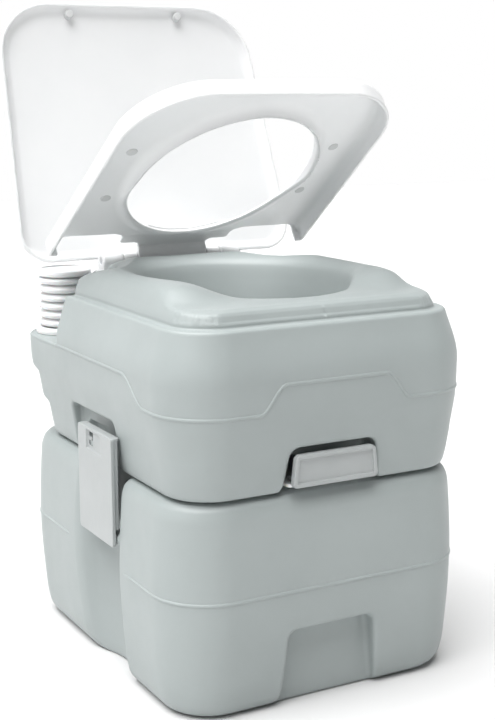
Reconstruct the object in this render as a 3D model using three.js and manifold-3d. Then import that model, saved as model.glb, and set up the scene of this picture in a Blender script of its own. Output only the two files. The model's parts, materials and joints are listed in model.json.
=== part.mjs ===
// Portable camp toilet: a flush tank with seat, lid and hand pump standing on a waste tank.
// Millimetres, +Z up, +X to the user's left when seated, the front (handle side) towards -Y.
// The origin is the centre of the waste tank's underside.

import * as THREE from "three";
import { mergeVertices } from "three/addons/utils/BufferGeometryUtils.js";
import Module from "manifold-3d";

const wasm = await Module();
wasm.setup();

// ---------------------------------------------------------------- driving dimensions
const WALL = 4; // blow-moulded wall
const GAP = 0.3; // clearance between separate pieces
const HALF_WIDTH = 168; // both tanks, at the parting bead
const FLUSH_FRONT = -207.5;
const FLUSH_BACK = 207.5;
const WASTE_FRONT = -203;
const WASTE_BACK = 203;
const WASTE_TOP = 214.7;
const FLUSH_BOTTOM = 215;
const WASTE_BEAD_Z = 119.7;
const FLUSH_BEAD_LOW = 297.1;
const FLUSH_BEAD_HIGH = 323.8;
const BEAD = 1.2; // how far the parting bead stands out
const SHOULDER_Z = 376; // ledge round the top of the flush tank
const PLATEAU_Z = 388; // step round the bowl collar
const RISE_Z = 392; // where the collar starts to rise

const OUTLET_Y = -30; // bowl outlet, waste neck and slide valve share this centre
const NECK_RADIUS = 46;

const HINGE_Y = 154; // common axis of seat and lid
const HINGE_Z = 402;
const HINGE_PAD_Z = 387;
const PIN_RADIUS = 4;
const RUNNING = 0.15; // radial clearance of a turning fit
const SEAT_OPEN = 35.7; // degrees raised at rest
const LID_OPEN = 110; // degrees raised at rest

const PUMP = { x: -127, y: 165, radius: 30, shelf: 324 };
const FILLER = { x: 114, y: 145, floor: 372 };
const SPOUT = { x: 118, y: 178, floor: 158, axis: 188 };
const LATCH = { y0: -63, y1: 23.4, z0: 142.4, z1: 254.2, face: 172, pinX: 160, pinZ: 150 };
const RECESS_FLOOR_X = 150; // floor of the flush tank's latch recess
const CHANNEL_FLOOR_X = 142; // floor of the waste tank's side channel

// ---------------------------------------------------------------- solids and meshes
function orient(positions, index) {
  let volume = 0;
  const a = new THREE.Vector3();
  const b = new THREE.Vector3();
  const c = new THREE.Vector3();
  for (let i = 0; i < index.length; i += 3) {
    a.fromArray(positions, 3 * index[i]);
    b.fromArray(positions, 3 * index[i + 1]);
    c.fromArray(positions, 3 * index[i + 2]);
    volume += a.dot(b.cross(c));
  }
  if (volume > 0) return index;
  const flipped = [];
  for (let i = 0; i < index.length; i += 3) {
    flipped.push(index[i], index[i + 2], index[i + 1]);
  }
  return flipped;
}

function toSolid(geometry) {
  const bare = geometry.clone();
  bare.deleteAttribute("normal");
  bare.deleteAttribute("uv");
  const merged = mergeVertices(bare, 1e-3);
  const source = merged.index.array;
  const kept = [];
  for (let i = 0; i < source.length; i += 3) {
    const [a, b, c] = [source[i], source[i + 1], source[i + 2]];
    if (a !== b && b !== c && c !== a) kept.push(a, b, c);
  }
  const positions = merged.attributes.position.array;
  const index = orient(positions, kept);
  return new wasm.Manifold(
    new wasm.Mesh({
      numProp: 3,
      vertProperties: new Float32Array(positions),
      triVerts: new Uint32Array(index),
    }),
  );
}

function toGeometry(solid) {
  const mesh = solid.getMesh();
  const geometry = new THREE.BufferGeometry();
  geometry.setAttribute("position", new THREE.BufferAttribute(mesh.vertProperties, 3));
  geometry.setIndex(new THREE.BufferAttribute(mesh.triVerts, 1));
  return geometry;
}

const join = (first, ...rest) => rest.reduce((sum, next) => sum.add(next), first);
const cut = (first, ...rest) => rest.reduce((left, next) => left.subtract(next), first);

function box(x0, x1, y0, y1, z0, z1) {
  const geometry = new THREE.BoxGeometry(x1 - x0, y1 - y0, z1 - z0);
  geometry.translate((x0 + x1) / 2, (y0 + y1) / 2, (z0 + z1) / 2);
  return toSolid(geometry);
}

function cylinderZ(radius, z0, z1, x, y, segments = 32) {
  const geometry = new THREE.CylinderGeometry(radius, radius, z1 - z0, segments);
  geometry.rotateX(Math.PI / 2);
  geometry.translate(x, y, (z0 + z1) / 2);
  return toSolid(geometry);
}

function cylinderX(radius, x0, x1, y, z, segments = 24) {
  const geometry = new THREE.CylinderGeometry(radius, radius, x1 - x0, segments);
  geometry.rotateZ(Math.PI / 2);
  geometry.translate((x0 + x1) / 2, y, z);
  return toSolid(geometry);
}

function cylinderY(radius, y0, y1, x, z, segments = 20) {
  const geometry = new THREE.CylinderGeometry(radius, radius, y1 - y0, segments);
  geometry.translate(x, (y0 + y1) / 2, z);
  return toSolid(geometry);
}

// A solid of revolution about a vertical axis through (x, y); profile points are [radius, z].
function turned(profile, x, y, segments = 28) {
  const points = profile.map(([radius, z]) => new THREE.Vector2(radius, z));
  const geometry = new THREE.LatheGeometry(points, segments);
  geometry.rotateX(Math.PI / 2);
  geometry.translate(x, y, 0);
  return toSolid(geometry);
}

// A flat ring (washer, gasket) about a vertical axis.
function ringZ(inner, outer, z0, z1, x, y, segments = 32) {
  const profile = [
    [inner, z0],
    [outer, z0],
    [outer, z1],
    [inner, z1],
    [inner, z0],
  ];
  return turned(profile, x, y, segments);
}

function toShape(points) {
  return new THREE.Shape(points.map(([u, v]) => new THREE.Vector2(u, v)));
}

function extruded(points, depth) {
  return new THREE.ExtrudeGeometry(toShape(points), { depth, bevelEnabled: false, curveSegments: 1 });
}

// Prisms: the outline lies in XY, XZ or YZ and is swept along the remaining axis.
function prismZ(points, z0, z1) {
  const geometry = extruded(points, z1 - z0);
  geometry.translate(0, 0, z0);
  return toSolid(geometry);
}

function prismY(points, y0, y1) {
  const geometry = extruded(points, y1 - y0);
  geometry.rotateX(Math.PI / 2);
  geometry.translate(0, y1, 0);
  return toSolid(geometry);
}

function prismX(points, x0, x1) {
  const geometry = extruded(points, x1 - x0);
  const turn = new THREE.Matrix4().makeBasis(
    new THREE.Vector3(0, 1, 0),
    new THREE.Vector3(0, 0, 1),
    new THREE.Vector3(1, 0, 0),
  );
  geometry.applyMatrix4(turn);
  geometry.translate(x0, 0, 0);
  return toSolid(geometry);
}

// A polygon with each corner rounded to its own radius; radius 0 keeps the corner as it is.
function filleted(corners, segments = 6) {
  const out = [];
  corners.forEach(([x, y, radius], i) => {
    if (!radius) {
      out.push([x, y]);
      return;
    }
    const [px, py] = corners[(i + corners.length - 1) % corners.length];
    const [nx, ny] = corners[(i + 1) % corners.length];
    const here = new THREE.Vector2(x, y);
    const back = new THREE.Vector2(px, py).sub(here).normalize();
    const ahead = new THREE.Vector2(nx, ny).sub(here).normalize();
    const half = Math.acos(THREE.MathUtils.clamp(back.dot(ahead), -1, 1)) / 2;
    const reach = radius / Math.tan(half);
    const middle = back.clone().add(ahead).normalize().multiplyScalar(radius / Math.sin(half));
    const centre = here.clone().add(middle);
    const start = here.clone().addScaledVector(back, reach).sub(centre);
    const end = here.clone().addScaledVector(ahead, reach).sub(centre);
    const from = Math.atan2(start.y, start.x);
    let sweep = Math.atan2(end.y, end.x) - from;
    if (sweep > Math.PI) sweep -= 2 * Math.PI;
    if (sweep < -Math.PI) sweep += 2 * Math.PI;
    for (let k = 0; k <= segments; k++) {
      const angle = from + (sweep * k) / segments;
      out.push([centre.x + radius * Math.cos(angle), centre.y + radius * Math.sin(angle)]);
    }
  });
  return out;
}

// A closed solid through a stack of rings with equal point counts, listed from the bottom up.
function loft(rings) {
  const count = rings[0].length;
  const positions = rings.flat(2);
  const index = [];
  for (let i = 0; i + 1 < rings.length; i++) {
    for (let j = 0; j < count; j++) {
      const a = i * count + j;
      const b = i * count + ((j + 1) % count);
      index.push(a, b, b + count, a, b + count, a + count);
    }
  }
  [0, rings.length - 1].forEach((level) => {
    const centre = positions.length / 3;
    const sum = rings[level].reduce((s, p) => [s[0] + p[0], s[1] + p[1], s[2] + p[2]], [0, 0, 0]);
    positions.push(sum[0] / count, sum[1] / count, sum[2] / count);
    for (let j = 0; j < count; j++) {
      const a = level * count + j;
      const b = level * count + ((j + 1) % count);
      if (level === 0) index.push(centre, b, a);
      else index.push(centre, a, b);
    }
  });
  const geometry = new THREE.BufferGeometry();
  geometry.setAttribute("position", new THREE.Float32BufferAttribute(positions, 3));
  geometry.setIndex(index);
  return toSolid(geometry);
}

const atHeight = (outline, z) => outline.map(([x, y]) => [x, y, typeof z === "function" ? z(x, y) : z]);

// ---------------------------------------------------------------- tank outlines
// Where the flush tank's parting bead changes level: on the front face and along the sides.
const BEAD_FRONT_X = [84, 56];
const BEAD_SIDE_Y = [-131, -84];

function plainOutline(half, front, back, radius, segments = 3) {
  const corners = [
    [-half, front, radius],
    [half, front, radius],
    [half, back, radius],
    [-half, back, radius],
  ];
  return filleted(corners, segments);
}

function tankOutline(half, front, back, radius) {
  const low = Math.min(BEAD_FRONT_X[0], half - radius - 2);
  const high = Math.min(BEAD_FRONT_X[1], low - 8);
  const sideLow = Math.max(BEAD_SIDE_Y[0], front + radius + 2);
  const sideHigh = Math.max(BEAD_SIDE_Y[1], sideLow + 8);
  const backRadius = radius * 0.78;
  return filleted([
    [-half, front, radius],
    [-low, front, 0],
    [-high, front, 0],
    [high, front, 0],
    [low, front, 0],
    [half, front, radius],
    [half, sideLow, 0],
    [half, sideHigh, 0],
    [half, back, backRadius],
    [-half, back, backRadius],
    [-half, sideHigh, 0],
    [-half, sideLow, 0],
  ], 5);
}

function beadHeight(x, y) {
  const across = (value, [from, to]) => THREE.MathUtils.clamp((value - from) / (to - from), 0, 1);
  const onFront = y < FLUSH_FRONT + 2.5 ? across(Math.abs(x), BEAD_FRONT_X) : 0;
  const onSide = across(y, BEAD_SIDE_Y);
  const blend = Math.max(onFront, onSide);
  return FLUSH_BEAD_LOW + (FLUSH_BEAD_HIGH - FLUSH_BEAD_LOW) * blend;
}

// The bowl collar stands full height at the sides, a little lower behind the bowl, and sinks to
// the plateau at the front and at the two rear corners.
function collarHeight(z) {
  const { smoothstep } = THREE.MathUtils;
  return (x, y) => {
    if (z <= RISE_Z) return z;
    const flank = smoothstep(Math.abs(x), 55, 120);
    const front = smoothstep(-y, 60, 110) * (1 - flank) + smoothstep(-y, 108, 156) * flank;
    const corner = smoothstep(y, 20, 112) * smoothstep(Math.abs(x), 58, 112);
    const back = smoothstep(y, 60, 130);
    return RISE_Z + (z - RISE_Z) * (1 - 0.88 * front - 0.62 * corner - 0.1 * back);
  };
}

function wasteOuter(inset) {
  // [half width, front, back, corner radius, z]
  const sections = [
    [148, -183, 183, 42, 0],
    [155, -190, 190, 48, 5],
    [160, -195, 195, 52, 14],
    [163, -198, 198, 54, 32],
    [HALF_WIDTH, WASTE_FRONT, WASTE_BACK, 59, WASTE_BEAD_Z - 2.4],
    [HALF_WIDTH + BEAD, WASTE_FRONT - BEAD, WASTE_BACK + BEAD, 60, WASTE_BEAD_Z - 1.4],
    [HALF_WIDTH + BEAD, WASTE_FRONT - BEAD, WASTE_BACK + BEAD, 60, WASTE_BEAD_Z + 1.4],
    [HALF_WIDTH, WASTE_FRONT, WASTE_BACK, 59, WASTE_BEAD_Z + 2.4],
    [164.5, -199.5, 199.5, 56, 196],
    [161.5, -196.5, 196.5, 54, 207],
    [155.5, -190.5, 190.5, 48, 212.5],
    [147.5, -182.5, 182.5, 41, WASTE_TOP],
  ];
  const used = inset ? sections.filter((row, i) => i < 5 || i > 7) : sections;
  return loft(
    used.map(([half, front, back, radius, z]) => {
      const level = THREE.MathUtils.clamp(z, inset, WASTE_TOP - inset);
      const lift = inset && z > inset && z < 14 ? inset + z * 0.5 : level;
      const segments = inset ? 3 : 6;
      const shape = plainOutline(half - inset, front + inset, back - inset, radius - inset, segments);
      return atHeight(shape, z > 207 && z < WASTE_TOP ? level - inset * 0.3 : lift);
    }),
  );
}

function flushOuter(inset) {
  // [half width, front, back, corner radius, z]
  const below = [
    [148.4, -188, 153, 40, FLUSH_BOTTOM],
    [154.4, -194, 159.5, 46, 217.5],
    [156.4, -195.9, 161.5, 47, 222],
    [160.6, -200.1, 167, 49, 250],
    [161.7, -201.2, 183, 51, 257],
    [165.4, -204.9, 188, 54, 283],
    [166.4, -205.9, 203, 56, 289],
  ];
  const above = [
    [HALF_WIDTH, FLUSH_FRONT, FLUSH_BACK, 58.6, 328],
    [156.8, -196.3, 196.3, 50, 371],
    [155.6, -195.1, 195.1, 49, 374.4],
    [152.5, -192, 192, 46, SHOULDER_Z],
    [144.8, -184.3, 184.3, 40, SHOULDER_Z + 0.4],
    [144.2, -183.7, 183.7, 39, 384],
    [142.4, -181.5, 181.5, 37, PLATEAU_Z],
    [140.6, -175, 172, 42, 391],
    [139.6, -167, 152, 52, 393.5],
    [137.6, -161, 143, 60, 398],
    [133.5, -155, 136, 64, 404],
    [127, -148, 129, 66, 408],
    [108, -130, 112, 62, 410.5],
  ];
  const draw = inset ? plainOutline : tankOutline;
  const section = ([half, front, back, radius, z], drop) =>
    atHeight(draw(half - inset, front + inset, back - inset, radius - inset), collarHeight(z + drop));
  const rings = below.map((row) => section(row, row[4] < 225 ? inset : 0));
  if (!inset) {
    const bead = (stand, offset) =>
      atHeight(
        tankOutline(HALF_WIDTH + stand, FLUSH_FRONT - stand, FLUSH_BACK + stand, 58.6 + stand),
        (x, y) => beadHeight(x, y) + offset,
      );
    rings.push(bead(0, -2.2), bead(BEAD, -1.2), bead(BEAD, 1.2), bead(0, 2.2));
  } else {
    rings.push(section([HALF_WIDTH, FLUSH_FRONT, FLUSH_BACK, 58.6, 300], 0));
  }
  const thinned = inset ? above.filter((row, i) => ![2, 5, 9].includes(i)) : above;
  thinned.forEach((row) => rings.push(section(row, row[4] > 360 ? -inset : 0)));
  return loft(rings);
}

// ---------------------------------------------------------------- hollows, each with a `grow` for its wall
function sideChannel(side, grow) {
  const floor = side * (CHANNEL_FLOOR_X - grow);
  const outside = side * 185;
  const corners = [
    [outside, -66 - grow, 0],
    [floor, -66 - grow, 6],
    [floor, 6 + grow, 14],
    [outside, 68 + grow, 0],
  ];
  const points = filleted(side < 0 ? corners : corners.reverse(), 5);
  return prismZ(points, grow ? 0.5 : -1, WASTE_TOP + 2);
}

function latchRecess(side, grow) {
  const inner = side * (RECESS_FLOOR_X - grow);
  const outer = side * 185;
  const points = filleted(
    [
      [-50 - grow, 213, 0],
      [62 + grow, 213, 0],
      [62 + grow, 267 + grow, 7],
      [-45 - grow, 267 + grow, 7],
    ],
    3,
  );
  return prismX(points, Math.min(inner, outer), Math.max(inner, outer));
}

function hookPocket(side, grow) {
  const inner = side * (136 - grow);
  const outer = side * 160;
  const points = filleted(
    [
      [-12 - grow, 228 - grow, 0],
      [48 + grow, 228 - grow, 0],
      [48 + grow, 250 + grow, 12],
      [-12 - grow, 250 + grow, 12],
    ],
    5,
  );
  return prismX(points, Math.min(inner, outer), Math.max(inner, outer));
}

function gripRecess(grow) {
  const points = filleted(
    [
      [-62 - grow, -2, 0],
      [62 + grow, -2, 0],
      [54 + grow, 14, 10],
      [48 + grow, 79 + grow, 8],
      [-48 - grow, 79 + grow, 8],
      [-54 - grow, 14, 10],
    ],
    4,
  );
  return prismY(points, -225, -184 + grow);
}

function spoutRecess(grow) {
  const points = filleted([
    [-26 - grow, 232, 0],
    [-26 - grow, 150 - grow, 14],
    [147 + grow, 150 - grow, 14],
    [147 + grow, 232, 0],
  ]);
  return prismZ(points, SPOUT.floor - grow, WASTE_TOP + 2);
}

function handleNotch(grow) {
  const points = filleted(
    [
      [-80 - grow, 213, 0],
      [80 + grow, 213, 0],
      [53 + grow, 222, 14],
      [47 + grow, 260 + grow, 9],
      [-47 - grow, 260 + grow, 9],
      [-53 - grow, 222, 14],
    ],
    4,
  );
  return prismY(points, -225, -176 + grow);
}

function valveTunnel(grow) {
  return box(-62 - grow, 62 + grow, -185, 50 + grow, 213, 246 + grow);
}

function pumpPocket(grow) {
  const points = filleted([
    [-230, 92 - grow, 0],
    [-88 + grow, 92 - grow, 22],
    [-88 + grow, 250, 0],
    [-230, 250, 0],
  ]);
  return prismZ(points, PUMP.shelf - grow, 440);
}

function fillerPocket(grow) {
  return cylinderZ(26 + grow, FILLER.floor - grow, grow ? 420 : 430, FILLER.x, FILLER.y, 28);
}

function bowl(grow) {
  // [half width, half depth, centre y, z]
  const sections = [
    [47, 47, OUTLET_Y, grow ? 236.6 : 225],
    [48, 48, OUTLET_Y, 246],
    [57, 64, -30, 257],
    [75, 89, -27, 286],
    [91, 110, -24, 332],
    [101, 123, -21, 380],
    [105, 128.5, -20, 396],
    [107.5, 132, -18, 401],
    [112, 138, -16, 405],
    [119, 146, -15, 408.5],
    [127, 154, -14, 411],
    [133, 160, -13, 416],
  ];
  const steps = 28;
  return loft(
    sections.map(([halfX, halfY, centre, z]) => {
      const outline = [];
      for (let k = 0; k < steps; k++) {
        const angle = (2 * Math.PI * k) / steps;
        outline.push([(halfX + grow) * Math.cos(angle), centre + (halfY + grow) * Math.sin(angle)]);
      }
      return atHeight(outline, z);
    }),
  );
}

// ---------------------------------------------------------------- waste tank and slide valve
const VALVE_SCREWS = [
  [-53.5, -108],
  [53.5, -108],
  [-53.5, 40],
  [53.5, 40],
];

function wasteTank() {
  const hollows = [
    (grow) => sideChannel(-1, grow),
    (grow) => sideChannel(1, grow),
    gripRecess,
    spoutRecess,
  ];
  const bosses = VALVE_SCREWS.map(([x, y]) => cylinderZ(5.5, 200, WASTE_TOP - 1, x, y, 12));
  const cavity = cut(wasteOuter(WALL), ...hollows.map((hollow) => hollow(WALL)), ...bosses);
  const pilots = VALVE_SCREWS.map(([x, y]) => cylinderZ(2.3, 203, WASTE_TOP + 1, x, y, 10));
  let tank = cut(wasteOuter(0), cavity, ...hollows.map((hollow) => hollow(0)), ...pilots);
  tank = cut(tank, cylinderZ(NECK_RADIUS, 205, 220, 0, OUTLET_Y, 32));
  tank = cut(tank, cylinderZ(16, 150, 165, SPOUT.x, SPOUT.y, 24));
  [-1, 1].forEach((side) => {
    const ear = (y0, y1) => {
      const inner = side * (CHANNEL_FLOOR_X - 1);
      const outer = side * LATCH.pinX;
      const [low, high] = [LATCH.pinZ - 7.4, LATCH.pinZ + 7.4];
      const block = box(Math.min(inner, outer), Math.max(inner, outer), y0, y1, low, high);
      const end = cylinderY(7.4, y0, y1, outer, LATCH.pinZ, 20);
      return cut(join(block, end), cylinderY(3.3, y0 - 1, y1 + 1, outer, LATCH.pinZ, 16));
    };
    tank = join(tank, ear(-67, -59.5), ear(20, 27));
  });
  return tank;
}

const latchPin = (side) => cylinderY(3, -66, 26.5, side * LATCH.pinX, LATCH.pinZ, 16);

function valveOutline() {
  const corners = [
    [-60, -114, 8],
    [60, -114, 8],
    [60, 46, 8],
    [-60, 46, 8],
  ];
  return filleted(corners, 3);
}

function valveBase() {
  let plate = prismZ(valveOutline(), 215, 220);
  plate = cut(plate, cylinderZ(NECK_RADIUS, 210, 225, 0, OUTLET_Y, 32));
  plate = cut(plate, cylinderZ(54.5, 214, 217.2, 0, OUTLET_Y, 32));
  const inner = ringZ(NECK_RADIUS, NECK_RADIUS + 1.5, 215, 218, 0, OUTLET_Y, 32);
  const holes = VALVE_SCREWS.map(([x, y]) => cylinderZ(2.4, 210, 225, x, y, 12));
  return cut(join(plate, inner), ...holes);
}

const neckGasket = () => ringZ(NECK_RADIUS + 1.9, 54.2, 215, 216.9, 0, OUTLET_Y, 32);

function valveCover() {
  let cover = prismZ(valveOutline(), 220.3, 229);
  cover = cut(cover, box(-50.4, 50.4, -120, 24.5, 219, 224.2));
  cover = cut(cover, cylinderZ(NECK_RADIUS, 215, 235, 0, OUTLET_Y, 32));
  const holes = VALVE_SCREWS.map(([x, y]) => cylinderZ(2.4, 210, 235, x, y, 12));
  return cut(cover, ...holes);
}

function bowlSeal() {
  const profile = [
    [NECK_RADIUS, 229.3],
    [55, 229.3],
    [55, 231],
    [50.5, 232.5],
    [51.5, 236.2],
    [48, 236.2],
    [46.5, 232],
    [NECK_RADIUS, 229.3],
  ];
  return turned(profile, 0, OUTLET_Y, 32);
}

function panScrew(x, y, seat, length, headRadius = 4.2) {
  const profile = [
    [0, seat - length],
    [2, seat - length],
    [2, seat],
    [headRadius, seat],
    [headRadius, seat + 1.2],
    [headRadius * 0.62, seat + 2.3],
    [0, seat + 2.3],
  ];
  return turned(profile, x, y, 10);
}

function valveBlade() {
  const corners = [
    [-47, -196, 3],
    [47, -196, 3],
    [50, -150, 0],
    [50, 22, 8],
    [-50, 22, 8],
    [-50, -150, 0],
  ];
  return prismZ(filleted(corners, 3), 220.5, 223.9);
}

function valveHandle() {
  const face = (grow) =>
    filleted(
      [
        [-48 - grow, 222 - grow, 5],
        [48 + grow, 222 - grow, 5],
        [44.5 + grow, 254 + grow, 5],
        [-44.5 - grow, 254 + grow, 5],
      ],
      4,
    );
  const panel = prismY(face(0), -206, -199.2);
  const sunk = prismY(face(-3.2), -208, -204.6);
  const hollow = prismY(face(-3), -202.4, -198);
  const tab = box(-40, 40, -203, -180, 224.2, 229);
  const rib = (x) => box(x - 1.5, x + 1.5, -203, -186, 228, 247);
  return join(cut(panel, sunk, hollow), tab, rib(-30), rib(0), rib(30));
}

// ---------------------------------------------------------------- side latches
function latch(side) {
  const out = side * LATCH.face;
  const inn = side * (LATCH.face - 4);
  const plateOutline = filleted(
    [
      [LATCH.y0, LATCH.z0, 3],
      [LATCH.y1, LATCH.z0, 3],
      [LATCH.y1, LATCH.z1, 4],
      [LATCH.y0, LATCH.z1, 4],
    ],
    3,
  );
  const span = (a, b) => [Math.min(a, b), Math.max(a, b)];
  const plate = prismX(plateOutline, ...span(out, inn));
  const opening = (y0, y1, z0, z1, x) => {
    const corners = [
      [y0, z0, 2],
      [y1, z0, 2],
      [y1, z1, 2],
      [y0, z1, 2],
    ];
    return prismX(filleted(corners, 2), ...span(side * 180, side * x));
  };
  const fingerPocket = opening(-37, 1, 231, 249.8, 169.8);
  const slot = opening(-12, -2, 234.5, 247.5, 160);
  const flangeTop = box(...span(inn + side, side * 162), LATCH.y0 + 2, LATCH.y1 - 2, 250.2, LATCH.z1);
  const flange = (y0) => box(...span(inn + side, side * 164), y0, y0 + 2.4, 160, LATCH.z1 - 0.5);
  const hook = box(...span(inn + side, side * 150.8), -8, 14, 240, 244);
  const hookTip = box(...span(side * 154, side * 150.8), -8, 14, 236, 244);
  const knuckle = cylinderY(6.4, -58.8, 19.4, side * LATCH.pinX, LATCH.pinZ, 18);
  const web = box(...span(inn + side, side * LATCH.pinX), -58.8, 19.4, LATCH.z0 + 2, LATCH.pinZ + 4);
  const bore = cylinderY(3.3, -70, 30, side * LATCH.pinX, LATCH.pinZ, 16);
  const body = join(cut(plate, fingerPocket, slot), flangeTop, flange(LATCH.y0 + 1), flange(LATCH.y1 - 3.4));
  return cut(join(body, hook, hookTip, knuckle, web), bore);
}

// ---------------------------------------------------------------- pour-out spout
const SPOUT_NECK_X = SPOUT.x - 85;
const SPOUT_END_X = SPOUT.x - 113;

function pourSpout() {
  const flange = cylinderZ(24, SPOUT.floor + 2.4, SPOUT.floor + 6, SPOUT.x, SPOUT.y, 28);
  const rise = cylinderZ(19, SPOUT.floor + 2.4, SPOUT.axis, SPOUT.x, SPOUT.y, 28);
  const elbow = toSolid(
    new THREE.SphereGeometry(19.2, 24, 16).rotateX(Math.PI / 2).translate(SPOUT.x, SPOUT.y, SPOUT.axis),
  );
  const arm = cylinderX(19, SPOUT_NECK_X, SPOUT.x, SPOUT.y, SPOUT.axis, 28);
  const neck = cylinderX(16, SPOUT_END_X, SPOUT_NECK_X + 1, SPOUT.y, SPOUT.axis, 28);
  const boreDown = cylinderZ(14.5, SPOUT.floor, SPOUT.axis, SPOUT.x, SPOUT.y, 24);
  const boreAlong = cylinderX(13.5, SPOUT_END_X - 1, SPOUT.x, SPOUT.y, SPOUT.axis, 24);
  return cut(join(flange, rise, elbow, arm, neck), boreDown, boreAlong);
}

const spoutSeal = () => ringZ(16.5, 23, SPOUT.floor + 0.3, SPOUT.floor + 2.1, SPOUT.x, SPOUT.y, 28);

function spoutCap() {
  const start = SPOUT_END_X - 6;
  const shell = cylinderX(22, start, SPOUT_NECK_X - 0.5, SPOUT.y, SPOUT.axis, 28);
  const bore = cylinderX(16.5, SPOUT_END_X - 2, SPOUT_NECK_X + 1, SPOUT.y, SPOUT.axis, 28);
  const grips = [];
  for (let k = 0; k < 8; k++) {
    const angle = (2 * Math.PI * k) / 8;
    const y = SPOUT.y + 22.4 * Math.cos(angle);
    const z = SPOUT.axis + 22.4 * Math.sin(angle);
    grips.push(cylinderX(3, start - 1, SPOUT_NECK_X - 6, y, z, 8));
  }
  return cut(shell, bore, ...grips);
}

function spoutCapSeal() {
  const disc = cylinderX(15.8, SPOUT_END_X - 1.7, SPOUT_END_X - 0.3, SPOUT.y, SPOUT.axis, 24);
  return cut(disc, cylinderX(10, SPOUT_END_X - 3, SPOUT_END_X + 1, SPOUT.y, SPOUT.axis, 20));
}

// ---------------------------------------------------------------- flush tank
const BRACKET_SCREWS = [
  [-73.8, 141.5],
  [-73.8, 167.5],
  [73.8, 141.5],
  [73.8, 167.5],
];
const NOZZLE = { x: -58, y: 79, z: 374, dirX: -0.648, dirY: 0.761 };

function hingePad(side) {
  const [x0, x1] = side < 0 ? [-100, -40] : [40, 89];
  return box(x0, x1, 134, 179, HINGE_PAD_Z, 430);
}

function nozzleRod(radius, from, to, segments = 16) {
  const geometry = new THREE.CylinderGeometry(radius, radius, to - from, segments);
  geometry.translate(0, (from + to) / 2, 0);
  geometry.rotateZ(-Math.atan2(NOZZLE.dirX, NOZZLE.dirY));
  geometry.translate(NOZZLE.x, NOZZLE.y, NOZZLE.z);
  return toSolid(geometry);
}

function flushTank() {
  const sides = [-1, 1];
  const recesses = [
    ...sides.map((side) => (grow) => latchRecess(side, grow)),
    ...sides.map((side) => (grow) => hookPocket(side, grow)),
    handleNotch,
    pumpPocket,
    fillerPocket,
  ];
  const bosses = BRACKET_SCREWS.map(([x, y]) => cylinderZ(5.5, 376, 384, x, y, 12));
  const padWall = [box(-104, -36, 130, 190, 383, 400), box(36, 92, 130, 190, 383, 400)];
  const walls = recesses.map((recess) => recess(WALL));
  const cavity = cut(flushOuter(WALL), ...walls, valveTunnel(WALL), bowl(WALL), ...bosses, ...padWall);
  let tank = cut(flushOuter(0), cavity);
  tank = cut(tank, cut(valveTunnel(0), bowl(WALL)), bowl(0), ...recesses.map((recess) => recess(0)));
  tank = cut(tank, hingePad(-1), hingePad(1));
  const pilots = BRACKET_SCREWS.map(([x, y]) => cylinderZ(2.3, 378, 392, x, y, 10));
  const fillerNeck = ringZ(15, 17.5, FILLER.floor - 2, 384, FILLER.x, FILLER.y, 24);
  tank = cut(tank, ...pilots, cylinderZ(15, 360, 376, FILLER.x, FILLER.y, 24));
  tank = join(tank, fillerNeck);
  return cut(tank, cylinderZ(20, 315, 330, PUMP.x, PUMP.y, 28), nozzleRod(6.4, -12, 14));
}

// ---------------------------------------------------------------- hand pump
const BELLOWS_Z = [331.3, 388];
const FOLDS = 6;

function pumpCollar() {
  const profile = [
    [14, 312],
    [19.5, 312],
    [19.5, PUMP.shelf + GAP],
    [33, PUMP.shelf + GAP],
    [33, 328],
    [31, 331],
    [14, 331],
    [14, 312],
  ];
  const plug = cylinderZ(14.5, 312, 316, PUMP.x, PUMP.y, 24);
  const inlet = cylinderZ(5.2, 310, 320, PUMP.x - 3, PUMP.y - 8, 14);
  const outlet = cylinderZ(5.2, 310, 320, PUMP.x + 6, PUMP.y + 5, 14);
  return cut(join(turned(profile, PUMP.x, PUMP.y, 28), plug), inlet, outlet);
}

function bellows() {
  const [bottom, top] = BELLOWS_Z;
  const pitch = (top - bottom) / FOLDS;
  const outer = [];
  const inner = [];
  for (let k = 0; k < FOLDS; k++) {
    const z = bottom + k * pitch;
    outer.push([PUMP.radius - 5.5, z], [PUMP.radius, z + pitch * 0.42], [PUMP.radius, z + pitch * 0.58]);
    inner.push([PUMP.radius - 7, z], [PUMP.radius - 1.6, z + pitch * 0.5]);
  }
  outer.push([PUMP.radius - 5.5, top]);
  inner.push([PUMP.radius - 7, top]);
  return turned([...outer, ...inner.reverse(), outer[0]], PUMP.x, PUMP.y, 20);
}

function pumpCap() {
  const profile = [
    [0, 390.5],
    [26.6, 390.5],
    [26.6, 388.3],
    [29.5, 388.3],
    [30, 391],
    [29.4, 394],
    [26, 396],
    [12, 396.6],
    [0, 396.8],
  ];
  return turned(profile, PUMP.x, PUMP.y, 28);
}

function sweptTube(points, radius, bore, steps, segments) {
  const curve = new THREE.CatmullRomCurve3(points.map((p) => new THREE.Vector3(...p)));
  const circle = (r) => {
    const outline = [];
    for (let k = 0; k < segments; k++) {
      const angle = (2 * Math.PI * k) / segments;
      outline.push([r * Math.cos(angle), r * Math.sin(angle)]);
    }
    return outline;
  };
  const shape = toShape(circle(radius));
  shape.holes.push(new THREE.Path(circle(bore).map(([u, v]) => new THREE.Vector2(u, v))));
  const options = { steps, bevelEnabled: false, extrudePath: curve, curveSegments: 1 };
  return toSolid(new THREE.ExtrudeGeometry(shape, options));
}

const pumpTube = () => ringZ(3.4, 4.9, 252, 319.5, PUMP.x - 3, PUMP.y - 8, 14);

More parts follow.
